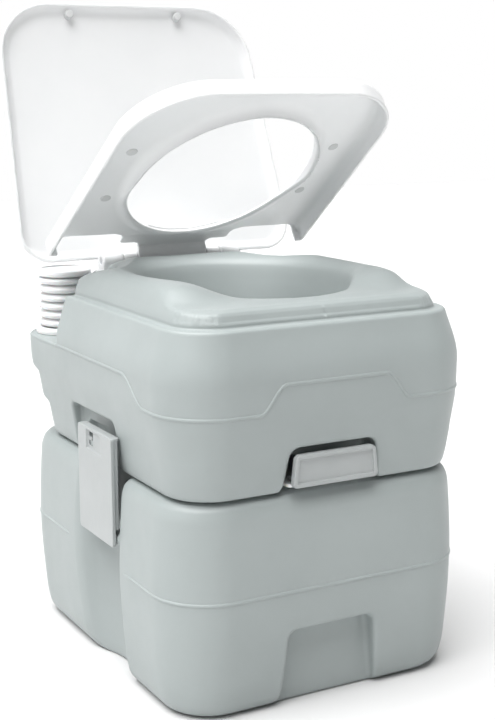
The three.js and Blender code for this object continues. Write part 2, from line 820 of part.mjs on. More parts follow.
function flushHose() {
  const startX = NOZZLE.x + 13 * NOZZLE.dirX;
  const startY = NOZZLE.y + 13 * NOZZLE.dirY;
  const points = [
    [startX, startY, NOZZLE.z],
    [startX - 5, startY + 6, NOZZLE.z - 5],
    [startX - 7, startY + 9, NOZZLE.z - 24],
    [startX - 9, startY + 12, 330],
    [startX - 18, startY + 24, 304],
    [PUMP.x + 14, PUMP.y - 6, 292],
    [PUMP.x + 7, PUMP.y + 4, 300],
    [PUMP.x + 6, PUMP.y + 5, 318],
  ];
  return sweptTube(points, 4.8, 3.2, 22, 8);
}

function flushNozzle() {
  const body = join(nozzleRod(6, -7, 8), nozzleRod(8.6, 7.6, 10.4));
  return cut(body, nozzleRod(3, -10, 12, 12));
}

// ---------------------------------------------------------------- filler cap
function fillerCap() {
  const shell = cylinderZ(22, FILLER.floor + 1.6, 388.4, FILLER.x, FILLER.y, 30);
  const bore = cylinderZ(18, FILLER.floor, 385.6, FILLER.x, FILLER.y, 24);
  const grips = [];
  for (let k = 0; k < 10; k++) {
    const angle = (2 * Math.PI * k) / 10;
    const x = FILLER.x + 22.8 * Math.cos(angle);
    const y = FILLER.y + 22.8 * Math.sin(angle);
    grips.push(cylinderZ(3, 370, 386, x, y, 8));
  }
  const bar = box(FILLER.x - 15, FILLER.x + 15, FILLER.y - 3, FILLER.y + 3, 388, 392.5);
  return join(cut(shell, bore, ...grips), bar);
}

const fillerSeal = () => ringZ(13, 17.4, 384.2, 385.3, FILLER.x, FILLER.y, 24);

// ---------------------------------------------------------------- seat and lid hinge
function hingeBracket(side) {
  const [x0, x1] = side < 0 ? [-87, -62.6] : [62.6, 87];
  const foot = box(x0, x1, 136.5, 172.5, HINGE_PAD_Z + GAP, 391);
  const post = prismX(
    [
      [145.6, 390],
      [163.4, 390],
      [162.5, HINGE_Z],
      [145.5, HINGE_Z],
    ],
    x0,
    x1,
  );
  const eye = cylinderX(10, x0, x1, HINGE_Y, HINGE_Z, 26);
  const bore = cylinderX(PIN_RADIUS + RUNNING, x0 - 1, x1 + 1, HINGE_Y, HINGE_Z, 18);
  const holes = BRACKET_SCREWS.map(([x, y]) => cylinderZ(2.4, 380, 396, x, y, 12));
  return cut(join(foot, post, eye), bore, ...holes);
}

function hingePin(side) {
  const [x0, x1] = side < 0 ? [-87, -26] : [26, 87];
  return cylinderX(PIN_RADIUS, x0, x1, HINGE_Y, HINGE_Z, 18);
}

// ---------------------------------------------------------------- seat
const SEAT = { back: 130.6, front: -169.8, halfBack: 160.7, halfFront: 148.6, skirt: 395.1, top: 416.5 };
const HOLE = { rx: 100.4, ry: 116.9, y: -6.7 };

function seatOutline(inset) {
  return filleted(
    [
      [-SEAT.halfFront + inset, SEAT.front + inset, 78 - inset],
      [SEAT.halfFront - inset, SEAT.front + inset, 78 - inset],
      [SEAT.halfBack - inset, SEAT.back - 5.7 - inset * 0.5, 5],
      [SEAT.halfBack - 12, SEAT.back - 5.7 - inset * 0.5, 4],
      [-SEAT.halfBack + 12, SEAT.back - 5.7 - inset * 0.5, 4],
      [-SEAT.halfBack + inset, SEAT.back - 5.7 - inset * 0.5, 5],
    ],
    8,
  );
}

function seatHoleOutline(grow) {
  const steps = 44;
  const outline = [];
  for (let k = 0; k < steps; k++) {
    const angle = (2 * Math.PI * k) / steps;
    outline.push([
      (HOLE.rx + grow) * Math.cos(angle),
      HOLE.y + (HOLE.ry + grow) * Math.sin(angle),
    ]);
  }
  return outline;
}

const seatHole = (grow, z0, z1) => prismZ(seatHoleOutline(grow), z0, z1);

function seatCutout(side, grow) {
  const corners = [
    [69 - grow, 200, 0],
    [69 - grow, 109.5 - grow, 12],
    [147 + grow, 109.5 - grow, 4],
    [151 + grow, 200, 0],
  ].map(([x, y, r]) => [side * x, y, r]);
  return prismZ(filleted(side > 0 ? corners : corners.reverse(), 4), 380, 430);
}

// The lip round the hole is full depth at the front and fades out towards the rear.
function holeLip() {
  const low = seatHoleOutline(3.4).map(([x, y]) => {
    return [x, y, 397.4 + 14.6 * THREE.MathUtils.smoothstep(y, -20, 60)];
  });
  return loft([low, atHeight(seatHoleOutline(3.4), 430)]);
}

function toiletSeat() {
  const outer = loft([
    atHeight(seatOutline(0), SEAT.skirt),
    atHeight(seatOutline(0), SEAT.top - 8),
    atHeight(seatOutline(2.2), SEAT.top - 3),
    atHeight(seatOutline(7), SEAT.top),
  ]);
  const hollow = loft([
    atHeight(seatOutline(WALL), SEAT.skirt - 2),
    atHeight(seatOutline(WALL), SEAT.top - 9),
    atHeight(seatOutline(8), SEAT.top - WALL),
  ]);
  const tongue = join(
    box(-76, 76, 100, 136, SEAT.top - WALL, SEAT.top),
    box(-43, 43, 130, 159.5, SEAT.top - WALL, SEAT.top),
  );
  let shell = cut(outer, cut(hollow, holeLip()));
  const underTongue = cut(box(-84, 84, 104, 200, 380, SEAT.top - WALL), holeLip());
  shell = cut(shell, underTongue);
  shell = join(shell, tongue);
  shell = cut(shell, seatCutout(-1, 0), seatCutout(1, 0), seatHole(0, 380, 430));
  const barrel = cylinderX(7.8, -43, 43, HINGE_Y, HINGE_Z, 22);
  const web = prismX(
    [
      [HINGE_Y - 7.6, HINGE_Z],
      [HINGE_Y + 5.4, HINGE_Z + 5],
      [HINGE_Y + 5.4, SEAT.top - 1],
      [HINGE_Y - 16, SEAT.top - 1],
    ],
    -43,
    43,
  );
  const bores = [-1, 1].map((side) => {
    const [x0, x1] = side < 0 ? [-44, -25] : [25, 44];
    return cylinderX(PIN_RADIUS + RUNNING, x0, x1, HINGE_Y, HINGE_Z, 18);
  });
  return cut(join(shell, barrel, web), ...bores);
}

const SEAT_BUMPERS = [
  [-118, 34],
  [118, 34],
  [-118, -52],
  [118, -52],
];

const seatBumper = ([x, y]) => cylinderZ(6, 410.4, SEAT.top - WALL - GAP, x, y, 16);

// ---------------------------------------------------------------- lid
const LID = { back: 148, front: -158.7, halfBack: 174, halfFront: 158.7, rim: 417, top: 430 };

function lidOutline(inset) {
  return filleted(
    [
      [-LID.halfFront + inset, LID.front + inset, 64 - inset],
      [LID.halfFront - inset, LID.front + inset, 64 - inset],
      [LID.halfBack - inset, LID.back - inset, 36 - inset],
      [-LID.halfBack + inset, LID.back - inset, 36 - inset],
    ],
    8,
  );
}

function lid() {
  const outer = loft([
    atHeight(lidOutline(0), LID.rim),
    atHeight(lidOutline(0.6), LID.top - 6),
    atHeight(lidOutline(2.6), LID.top - 2.4),
    atHeight(lidOutline(7), LID.top - 0.4),
    atHeight(lidOutline(30), LID.top),
  ]);
  const hollow = loft([
    atHeight(lidOutline(3), LID.rim - 2),
    atHeight(lidOutline(3.6), LID.top - 8),
    atHeight(lidOutline(7), LID.top - WALL),
  ]);
  let shell = cut(outer, hollow);
  [-1, 1].forEach((side) => {
    const [x0, x1] = side < 0 ? [-61.4, -44] : [44, 61.4];
    const eye = cylinderX(8.2, x0, x1, HINGE_Y, HINGE_Z, 22);
    const web = prismX(
      [
        [HINGE_Y - 8, HINGE_Z],
        [HINGE_Y + 7, HINGE_Z + 3],
        [HINGE_Y, LID.rim + 2],
        [HINGE_Y - 8, LID.top - 2],
        [HINGE_Y - 28, LID.top - 2],
        [HINGE_Y - 14, LID.rim],
      ],
      x0,
      x1,
    );
    const bore = cylinderX(PIN_RADIUS + RUNNING, x0 - 1, x1 + 1, HINGE_Y, HINGE_Z, 18);
    shell = cut(join(shell, eye, web), bore);
  });
  return shell;
}

const LID_BUMPERS = [
  [-70, -146],
  [70, -146],
];

const lidBumper = ([x, y]) => cylinderZ(5, SEAT.top + 0.4, LID.top - WALL - GAP, x, y, 16);

// ---------------------------------------------------------------- assembly
const finish = (color, roughness, metalness = 0) => ({ color, roughness, metalness });
const TANK_GREY = finish(0xa9b0b0, 0.42);
const HANDLE_GREY = finish(0xa6adad, 0.4);
const WHITE_GLOSS = finish(0xf2f3f3, 0.25);
const WHITE_SOFT = finish(0xe3e5e5, 0.45);
const RUBBER_BLACK = finish(0x2a2b2c, 0.8);
const RUBBER_WHITE = finish(0xdcdfdf, 0.6);
const STEEL = finish(0xc4c6c8, 0.3, 1);
const CLEAR_HOSE = finish(0xd5dadb, 0.5);

const toilet = new THREE.Group();
toilet.name = "portable_camp_toilet";

function piece(name, solid, look, parent = toilet) {
  const mesh = new THREE.Mesh(toGeometry(solid), new THREE.MeshStandardMaterial(look));
  mesh.name = name;
  parent.add(mesh);
}

// Seat and lid are made closed and swing together with a group turned about the hinge axis.
function swinging(degrees) {
  const pivot = new THREE.Group();
  pivot.position.set(0, HINGE_Y, HINGE_Z);
  pivot.rotation.x = -THREE.MathUtils.degToRad(degrees);
  const carried = new THREE.Group();
  carried.position.set(0, -HINGE_Y, -HINGE_Z);
  pivot.add(carried);
  toilet.add(pivot);
  return carried;
}

piece("waste_tank", wasteTank(), TANK_GREY);
piece("neck_gasket", neckGasket(), RUBBER_BLACK);
piece("valve_base", valveBase(), WHITE_SOFT);
piece("valve_cover", valveCover(), WHITE_SOFT);
piece("bowl_seal", bowlSeal(), RUBBER_BLACK);
VALVE_SCREWS.forEach(([x, y], i) => piece(`valve_screw_${i + 1}`, panScrew(x, y, 229.3, 24), STEEL));
piece("valve_blade", valveBlade(), WHITE_SOFT);
piece("valve_handle", valveHandle(), HANDLE_GREY);
piece("pour_spout", pourSpout(), TANK_GREY);
piece("spout_seal", spoutSeal(), RUBBER_BLACK);
piece("spout_cap", spoutCap(), WHITE_SOFT);
piece("spout_cap_seal", spoutCapSeal(), RUBBER_BLACK);
[["left", -1], ["right", 1]].forEach(([label, side]) => {
  piece(`latch_${label}`, latch(side), HANDLE_GREY);
  piece(`latch_pin_${label}`, latchPin(side), STEEL);
  piece(`hinge_bracket_${label}`, hingeBracket(side), WHITE_GLOSS);
  piece(`hinge_pin_${label}`, hingePin(side), STEEL);
});
BRACKET_SCREWS.forEach(([x, y], i) => piece(`bracket_screw_${i + 1}`, panScrew(x, y, 391.3, 12, 3.6), STEEL));
piece("flush_tank", flushTank(), TANK_GREY);
piece("pump_collar", pumpCollar(), WHITE_SOFT);
piece("pump_tube", pumpTube(), WHITE_SOFT);
piece("flush_hose", flushHose(), CLEAR_HOSE);
piece("flush_nozzle", flushNozzle(), WHITE_SOFT);
piece("bellows", bellows(), WHITE_SOFT);
piece("pump_cap", pumpCap(), WHITE_SOFT);
piece("filler_cap", fillerCap(), WHITE_SOFT);
piece("filler_seal", fillerSeal(), RUBBER_BLACK);

const seatSwing = swinging(SEAT_OPEN);
piece("toilet_seat", toiletSeat(), WHITE_GLOSS, seatSwing);
SEAT_BUMPERS.forEach((place, i) => piece(`seat_bumper_${i + 1}`, seatBumper(place), RUBBER_WHITE, seatSwing));

const lidSwing = swinging(LID_OPEN);
piece("lid", lid(), WHITE_GLOSS, lidSwing);
LID_BUMPERS.forEach((place, i) => piece(`lid_bumper_${i + 1}`, lidBumper(place), RUBBER_WHITE, lidSwing));

export default toilet;
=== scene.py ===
"""Visual model of a portable camp toilet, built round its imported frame.

Shapes are worked out in millimetres, in the frame's own axes, and turned into metres as each mesh
is made. Moulded pieces are distance fields (negative inside) meshed by a surface net, whose points
are then moved onto the surface itself; turned pieces are lathed from a rounded profile.
"""

import itertools
import json
import math

import bmesh
import bpy
import numpy as np
from mathutils import Matrix, Vector

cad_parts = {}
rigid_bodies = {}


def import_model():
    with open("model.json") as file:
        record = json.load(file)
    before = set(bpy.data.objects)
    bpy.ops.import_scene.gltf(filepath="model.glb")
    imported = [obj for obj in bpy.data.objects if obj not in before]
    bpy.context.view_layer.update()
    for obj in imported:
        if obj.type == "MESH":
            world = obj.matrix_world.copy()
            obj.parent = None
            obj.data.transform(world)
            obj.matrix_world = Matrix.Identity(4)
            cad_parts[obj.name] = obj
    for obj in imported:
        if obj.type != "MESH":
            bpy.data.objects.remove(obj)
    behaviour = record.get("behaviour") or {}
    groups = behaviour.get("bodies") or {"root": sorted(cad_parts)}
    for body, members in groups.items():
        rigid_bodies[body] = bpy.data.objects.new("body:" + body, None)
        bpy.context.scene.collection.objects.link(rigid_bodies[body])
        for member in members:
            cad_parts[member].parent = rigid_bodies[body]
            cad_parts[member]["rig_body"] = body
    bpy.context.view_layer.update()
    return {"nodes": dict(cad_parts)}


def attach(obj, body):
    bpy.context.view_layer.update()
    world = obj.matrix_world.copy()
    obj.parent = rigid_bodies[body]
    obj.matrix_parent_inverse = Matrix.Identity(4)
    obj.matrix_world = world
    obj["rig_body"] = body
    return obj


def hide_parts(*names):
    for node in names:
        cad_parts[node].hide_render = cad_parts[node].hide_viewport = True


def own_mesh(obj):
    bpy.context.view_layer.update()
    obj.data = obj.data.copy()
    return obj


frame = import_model()

MM = 0.001
SIDES = ((-1, "left"), (1, "right"))

# ------------------------------------------------------------------ driving dimensions (mm)
WASTE_TOP = 214.7
WASTE_BEAD_Z = 119.7
FLUSH_BOTTOM = 215
SHOULDER_Z = 376
PLATEAU_Z = 388
RISE_Z = 392
BEAD_LOW = 297.1
BEAD_HIGH = 323.8
BEAD_FRONT_X = (84, 56)
BEAD_SIDE_Y = (-131, -84)
OUTLET_Y = -30
NECK_RADIUS = 46
HINGE_Y = 154
HINGE_Z = 402
PIN_RADIUS = 4
EYE_BORE = 4.15
SEAT_OPEN = 35.7
LID_OPEN = 110
PUMP = (-127, 165)
PUMP_SHELF = 324
BELLOWS = (331.3, 388)
BELLOWS_FOLDS = 6
BELLOWS_VALLEY = 20.6
BELLOWS_DEPTH = 9.4
BELLOWS_BORE = 19.6
FILLER = (114, 145)
FILLER_FLOOR = 372
SPOUT = (118, 178)
SPOUT_FLOOR = 158
SPOUT_AXIS = 188
LATCH_PIN = (160, 150)
RECESS_FLOOR = 150
CHANNEL_FLOOR = 142
VALVE_SCREWS = [(-53.5, -108), (53.5, -108), (-53.5, 40), (53.5, 40)]
BRACKET_SCREWS = [(-73.8, 141.5), (-73.8, 167.5), (73.8, 141.5), (73.8, 167.5)]
NOZZLE_PLACE = (-58, 79, 374)
NOZZLE_AIM = (-0.648, 0.761, 0)


# ------------------------------------------------------------------ distance fields
def convex(a, b, radius):
    """What is inside both a and b, with the edge between them rounded."""
    corner = np.hypot(np.maximum(a + radius, 0), np.maximum(b + radius, 0))
    return np.minimum(np.maximum(a, b), -radius) + corner


def merge(a, b, radius):
    """What is inside a or b, with a fillet between them."""
    corner = np.hypot(np.maximum(radius - a, 0), np.maximum(radius - b, 0))
    return np.maximum(np.minimum(a, b), radius) - corner


def carve(a, b, radius):
    """What is inside a but not b, with the rim rounded."""
    return convex(a, -b, radius)


def slab(value, low, high):
    return np.maximum(low - value, value - high)


def rounded_rect(x, y, half, front, back, radius):
    across = np.abs(x) - (half - radius)
    along = np.abs(y - (front + back) / 2) - ((back - front) / 2 - radius)
    outside = np.hypot(np.maximum(across, 0), np.maximum(along, 0))
    return outside + np.minimum(np.maximum(across, along), 0) - radius


def block(x, y, z, x_span, y_span, z_span, radius=1.0):
    """A box given by its three spans, with rounded edges."""
    sides = convex(slab(x, *x_span), slab(y, *y_span), radius)
    return convex(sides, slab(z, *z_span), radius)


def round_bar(u, v, w, centre, radius, span, edge=1.0):
    """A cylinder along w, centred at (u, v)."""
    return convex(np.hypot(u - centre[0], v - centre[1]) - radius, slab(w, *span), edge)


def oval(x, y, half_x, half_y, centre_y):
    """Near distance to an ellipse."""
    u = x / half_x
    v = (y - centre_y) / half_y
    reach = np.hypot(u, v)
    return reach * (reach - 1) / (np.hypot(u / half_x, v / half_y) + 1e-9)


def step_between(value, low, high):
    t = np.clip((value - low) / (high - low), 0, 1)
    return t * t * (3 - 2 * t)


def through(height, rows):
    """Smooth monotone curves through rows of [height, value, value, ...], one array per column."""
    table = np.array(rows, float)
    knots = table[:, 0]
    values = table[:, 1:]
    gaps = np.diff(knots)
    slopes = np.diff(values, axis=0) / gaps[:, None]
    product = slopes[1:] * slopes[:-1]
    total = slopes[1:] + slopes[:-1]
    tangents = np.concatenate([slopes[:1], np.zeros_like(product), slopes[-1:]])
    kept = product > 0
    tangents[1:-1][kept] = 2 * product[kept] / total[kept]
    place = np.clip(np.searchsorted(knots, height) - 1, 0, len(knots) - 2)
    gap = gaps[place]
    t = np.clip((height - knots[place]) / gap, 0, 1)
    rise = t * t * (3 - 2 * t)
    lead = t * (1 - t) * (1 - t) * gap
    trail = t * t * (t - 1) * gap
    columns = []
    for k in range(values.shape[1]):
        start = values[place, k]
        end = values[place + 1, k]
        bend = lead * tangents[place, k] + trail * tangents[place + 1, k]
        columns.append(start + (end - start) * rise + bend)
    return columns


# ------------------------------------------------------------------ meshes from fields
def net_points(values, cells):
    """For each cell that the surface crosses, the mean of the points where it crosses the edges."""
    total = np.zeros((len(cells), 3))
    hits = np.zeros(len(cells))
    for axis in range(3):
        others = [k for k in range(3) if k != axis]
        for corner in itertools.product((0, 1), repeat=2):
            start = np.zeros(3, int)
            start[others] = corner
            end = start.copy()
            end[axis] = 1
            low = values[tuple((cells + start).T)]
            high = values[tuple((cells + end).T)]
            crossed = (low < 0) != (high < 0)
            span = np.where(crossed, low - high, 1)
            share = np.where(crossed, low / span, 0)
            point = start + share[:, None] * (end - start)
            total += crossed[:, None] * point
            hits += crossed
    return cells + total / hits[:, None]


def net_faces(inside, index):
    """One quad for each grid edge that runs from inside to outside, facing outwards."""
    faces = []
    shape = inside.shape
    for axis in range(3):
        u = (axis + 1) % 3
        v = (axis + 2) % 3
        low = [slice(None)] * 3
        high = [slice(None)] * 3
        low[axis] = slice(0, shape[axis] - 1)
        high[axis] = slice(1, shape[axis])
        for k in (u, v):
            low[k] = high[k] = slice(1, shape[k] - 1)
        start = inside[tuple(low)]
        crossed = np.argwhere(start != inside[tuple(high)])
        leaving = start[tuple(crossed.T)]
        base = crossed.copy()
        base[:, [u, v]] += 1
        ring = []
        for du, dv in ((0, 0), (1, 0), (1, 1), (0, 1)):
            cell = base.copy()
            cell[:, u] -= du
            cell[:, v] -= dv
            ring.append(index[tuple(cell.T)])
        quads = np.stack(ring, axis=1)
        quads[~leaving] = quads[~leaving][:, ::-1]
        faces.append(quads)
    return np.concatenate(faces)


def slope_of(field, points, reach=0.05):
    value = field(*points.T)
    slope = np.empty_like(points)
    for axis in range(3):
        ahead = points.copy()
        behind = points.copy()
        ahead[:, axis] += reach
        behind[:, axis] -= reach
        slope[:, axis] = (field(*ahead.T) - field(*behind.T)) / (2 * reach)
    return value, slope


def onto_surface(field, points, step, rounds=3):
    """Move points onto the zero level; returns them with the outward normals there."""
    for _ in range(rounds):
        value, slope = slope_of(field, points)
        size = np.maximum(np.linalg.norm(slope, axis=1), 0.2)
        move = np.clip(value / size, -0.5 * step, 0.5 * step)
        points = points - slope * (move / size)[:, None]
    slope = slope_of(field, points)[1]
    return points, slope / np.maximum(np.linalg.norm(slope, axis=1), 1e-9)[:, None]


def moulded(name, field, low, high, step, turn=None):
    """An object on the zero level of field(x, y, z), searched for between two corners."""
    axes = [np.arange(a - 1.5 * step, b + 2.5 * step, step) for a, b in zip(low, high)]
    grid = np.meshgrid(*axes, indexing="ij", sparse=True)
    values = np.broadcast_to(field(*grid), [len(a) for a in axes]).astype(np.float32)
    inside = values < 0
    corners = [slice(0, -1), slice(1, None)]
    count = sum(inside[place].astype(np.int8) for place in itertools.product(corners, repeat=3))
    mixed = (count > 0) & (count < 8)
    cells = np.argwhere(mixed)
    index = np.full(mixed.shape, -1, np.int64)
    index[mixed] = np.arange(len(cells))
    places = net_points(values, cells)
    points = np.stack([axes[k][0] + places[:, k] * step for k in range(3)], axis=1)
    points, normals = onto_surface(field, points, step)
    faces = net_faces(inside, index)
    if turn is not None:
        points, normals = turn(points, normals)
    return solid_object(name, points, faces, normals)


def solid_object(name, points, faces, normals=None):
    mesh = bpy.data.meshes.new(name)
    mesh.from_pydata((points * MM).tolist(), [], faces.tolist())
    mesh.shade_smooth()
    if normals is not None:
        mesh.normals_split_custom_set_from_vertices(normals.tolist())
    obj = bpy.data.objects.new(name, mesh)
    bpy.context.scene.collection.objects.link(obj)
    return obj


def hinged(degrees):
    """A turn about the hinge axis, from the closed pose to the open one."""
    angle = -math.radians(degrees)
    turn = np.array(Matrix.Rotation(angle, 3, "X"))
    centre = np.array([0, HINGE_Y, HINGE_Z])

    def apply(points, normals):
        return (points - centre) @ turn.T + centre, normals @ turn.T

    return apply


# ------------------------------------------------------------------ turned pieces
def rounded_profile(corners, steps=5):
    """A [u, v, radius] outline with each corner rounded and a support point beyond each arc."""
    outline = []
    count = len(corners)
    for k, (u, v, radius) in enumerate(corners):
        here = np.array([u, v], float)
        if not radius:
            outline.append(here)
            continue
        back = np.array(corners[k - 1][:2], float) - here
        ahead = np.array(corners[(k + 1) % count][:2], float) - here
        back_room = np.linalg.norm(back)
        ahead_room = np.linalg.norm(ahead)
        back /= back_room
        ahead /= ahead_room
        half = math.acos(np.clip(back @ ahead, -1, 1)) / 2
        reach = radius / math.tan(half)
        for extra in (min(reach * 1.4, back_room * 0.5), reach):
            outline.append(here + back * extra)
        for j in range(1, steps):
            t = j / steps
            curve = (1 - t) ** 2 * back * reach + t**2 * ahead * reach
            outline.append(here + curve)
        for extra in (reach, min(reach * 1.4, ahead_room * 0.5)):
            outline.append(here + ahead * extra)
    return np.array(outline)


def turned(name, profile, place, segments=64, direction=(0, 0, 1)):
    """A lathed solid: a closed loop of [radius, height], heights along direction from place."""
    angles = np.linspace(0, 2 * math.pi, segments, endpoint=False)
    radius = profile[:, 0][:, None]
    ring = np.stack([
        radius * np.cos(angles),
        radius * np.sin(angles),
        np.broadcast_to(profile[:, 1][:, None], (len(profile), segments)),
    ], axis=-1)
    swing = np.array(Vector((0, 0, 1)).rotation_difference(Vector(direction)).to_matrix())
    points = ring.reshape(-1, 3) @ swing.T + np.array(place, float)
    rows = np.arange(len(profile))
    a = (rows[:, None] * segments + np.arange(segments)).ravel()
    b = (rows[:, None] * segments + (np.arange(segments) + 1) % segments).ravel()
    after = (rows + 1) % len(profile)
    c = (after[:, None] * segments + (np.arange(segments) + 1) % segments).ravel()
    d = (after[:, None] * segments + np.arange(segments)).ravel()
    obj = solid_object(name, points, np.stack([a, b, c, d], axis=1))
    tidy_mesh(obj)
    return obj


def tidy_mesh(obj):
    """Weld the points that meet on the axis and make all faces look outwards."""
    work = bmesh.new()
    work.from_mesh(obj.data)
    bmesh.ops.remove_doubles(work, verts=work.verts, dist=1e-6)
    bmesh.ops.recalc_face_normals(work, faces=work.faces)
    work.to_mesh(obj.data)
    work.free()
    obj.data.shade_smooth()


# ------------------------------------------------------------------ waste tank
WASTE_ROWS = [
    [0, 148, 183, 42],
    [5, 155, 190, 48],
    [14, 160, 195, 52],
    [32, 163, 198, 54],
    [WASTE_BEAD_Z, 168, 203, 59],
    [196, 164.5, 199.5, 56],
    [207, 161.5, 196.5, 54],
    [212.5, 155.5, 190.5, 48],
    [WASTE_TOP, 147.5, 182.5, 41],
]


def flared_gap(x, z, floor, foot, top, corner, flare):
    """A gap in a wall as seen from the front: it narrows upwards and flares out at the bottom."""
    half = foot[0] + (z - foot[1]) * (top[0] - foot[0]) / (top[1] - foot[1])
    opening = convex(np.abs(x) - half, z - top[1], corner)
    return merge(opening, z - floor, flare)


def side_channel(x, y, side):
    """The channel for a latch: square at the front, sloping out to the side at the rear."""
    slope = 62 / 43
    rear = (y - 6 - (side * x - CHANNEL_FLOOR) * slope) / math.hypot(1, slope)
    gap = convex(CHANNEL_FLOOR - side * x, -66 - y, 6)
    return convex(gap, rear, 14)


def latch_ear(x, y, z, side, y_span):
    """A lug with a round outer end that carries the latch pin."""
    pin_x, pin_z = LATCH_PIN
    arm = slab(side * x, CHANNEL_FLOOR - 4, pin_x)
    arm = np.maximum(arm, slab(z, pin_z - 7.2, pin_z + 7.2))
    end = np.hypot(side * x - pin_x, z - pin_z) - 7.2
    return convex(np.minimum(arm, end), slab(y, *y_span), 1.2)


def waste_tank(x, y, z):
    half, depth, radius = through(z, WASTE_ROWS)
    tank = convex(rounded_rect(x, y, half, -depth, depth, radius), slab(z, 0, WASTE_TOP), 2.5)
    for side, _ in SIDES:
        tank = carve(tank, side_channel(x, y, side), 5)
    grip = flared_gap(x, z, -5, (54, 12), (48, 79), 9, 16)
    tank = carve(tank, convex(grip, y + 184, 5), 4)
    spout_bay = convex(slab(x, -26, 147), 150 - y, 13)
    tank = carve(tank, convex(spout_bay, SPOUT_FLOOR - z, 7), 4)
    neck = np.hypot(x, y - OUTLET_Y) - NECK_RADIUS
    well = block(x, y, z, (-100, 100), (-140, 80), (60, 206), 28)
    inner = merge(well, np.maximum(neck, 195 - z), 2)
    tank = carve(tank, inner, 1)
    for side, _ in SIDES:
        for span in ((-67, -59.5), (20, 27)):
            tank = merge(tank, latch_ear(x, y, z, side, span), 1.5)
        pin_hole = np.hypot(side * x - LATCH_PIN[0], z - LATCH_PIN[1]) - 3.2
        tank = carve(tank, convex(pin_hole, slab(y, -72, 32), 0.3), 0.3)
    return tank


# ------------------------------------------------------------------ flush tank
FLUSH_ROWS = [
    [FLUSH_BOTTOM, 148.4, -188, 153, 40],
    [217.5, 154.4, -194, 159.5, 46],
    [222, 156.4, -195.9, 161.5, 47],
    [250, 160.6, -200.1, 167, 49],
    [257, 161.7, -201.2, 183, 51],
    [283, 165.4, -204.9, 188, 54],
    [289, 166.4, -205.9, 203, 56],
    [300, 167.5, -207, 206.5, 58],
    [326, 168, -207.5, 207.5, 58.6],
    [371, 156.8, -196.3, 196.3, 50],
    [SHOULDER_Z, 155.2, -194.7, 194.7, 49],
]
COLLAR_ROWS = [
    [SHOULDER_Z, 144.8, -184.3, 184.3, 40],
    [384, 144.2, -183.7, 183.7, 39],
    [PLATEAU_Z, 142.4, -181.5, 181.5, 37],
    [391, 140.6, -175, 172, 42],
    [393.5, 139.6, -167, 152, 52],
    [398, 137.6, -161, 143, 60],
    [404, 133.5, -155, 136, 64],
    [408, 127, -148, 129, 66],
    [410.5, 108, -130, 112, 62],
    [412.5, 60, -90, 70, 40],
]
BOWL_ROWS = [
    [225, 47, 47, -30],
    [246, 48, 48, -30],
    [257, 57, 64, -30],
    [286, 75, 89, -27],
    [332, 91, 110, -24],
    [380, 101, 123, -21],
    [396, 105, 128.5, -20],
    [401, 107.5, 132, -18],
    [405, 112, 138, -16],
    [408.5, 119, 146, -15],
    [411, 127, 154, -14],
    [416, 133, 160, -13],
]
HINGE_PADS = ((-100, -40), (40, 89))
HINGE_PAD_Z = 387
COLLAR_CELL = 2.0
COLLAR_REACH = (156, 200)
COLLAR_CREST = 412.6


def collar_lift(x, y):
    """How much of the collar's rise is left: least at the front and the two rear corners."""
    flank = step_between(np.abs(x), 55, 120)
    front = step_between(-y, 60, 110) * (1 - flank) + step_between(-y, 108, 156) * flank
    corner = step_between(y, 20, 112) * step_between(np.abs(x), 58, 112)
    back = step_between(y, 60, 130)
    return 1 - 0.88 * front - 0.62 * corner - 0.1 * back


def collar_profile():
    """Height of the collar before it is sunk, over a grid of (|x|, y) positions."""
    side, ahead = COLLAR_REACH
    across = np.arange(0, side, COLLAR_CELL)
    along = np.arange(-ahead, ahead, COLLAR_CELL)
    x, y = np.meshgrid(across, along, indexing="ij")
    height = np.full(x.shape, 380.0)
    for level in np.arange(PLATEAU_Z, COLLAR_CREST, 0.25):
        half, front, back, radius = through(np.full(x.shape, level), COLLAR_ROWS)
        height[rounded_rect(x, y, half, front, back, radius) < 0] = level
    for _ in range(2):
        height[1:-1, 1:-1] = (
            height[1:-1, 1:-1] * 2
            + height[:-2, 1:-1]
            + height[2:, 1:-1]
            + height[1:-1, :-2]
            + height[1:-1, 2:]
        ) / 6
    return height


COLLAR_HEIGHTS = collar_profile()


def collar(x, y, z):
    """The plateau and the collar round the bowl, read from the grid of heights."""
    heights = COLLAR_HEIGHTS
    u = np.clip(np.abs(x) / COLLAR_CELL, 0, heights.shape[0] - 1.001)
    v = np.clip((y + COLLAR_REACH[1]) / COLLAR_CELL, 0, heights.shape[1] - 1.001)
    i = u.astype(int)
    j = v.astype(int)
    u = u - i
    v = v - j
    near = heights[i, j] * (1 - v) + heights[i, j + 1] * v
    far = heights[i + 1, j] * (1 - v) + heights[i + 1, j + 1] * v
    crest = near * (1 - u) + far * u
    sunk = RISE_Z + (crest - RISE_Z) * collar_lift(x, y)
    top = z - np.where(crest > RISE_Z, sunk, crest)
    half, front, back, radius = through(np.minimum(z, PLATEAU_Z), COLLAR_ROWS)
    side = rounded_rect(x, y, half, front, back, radius)
    return convex(side, top * 0.8, 1.5)


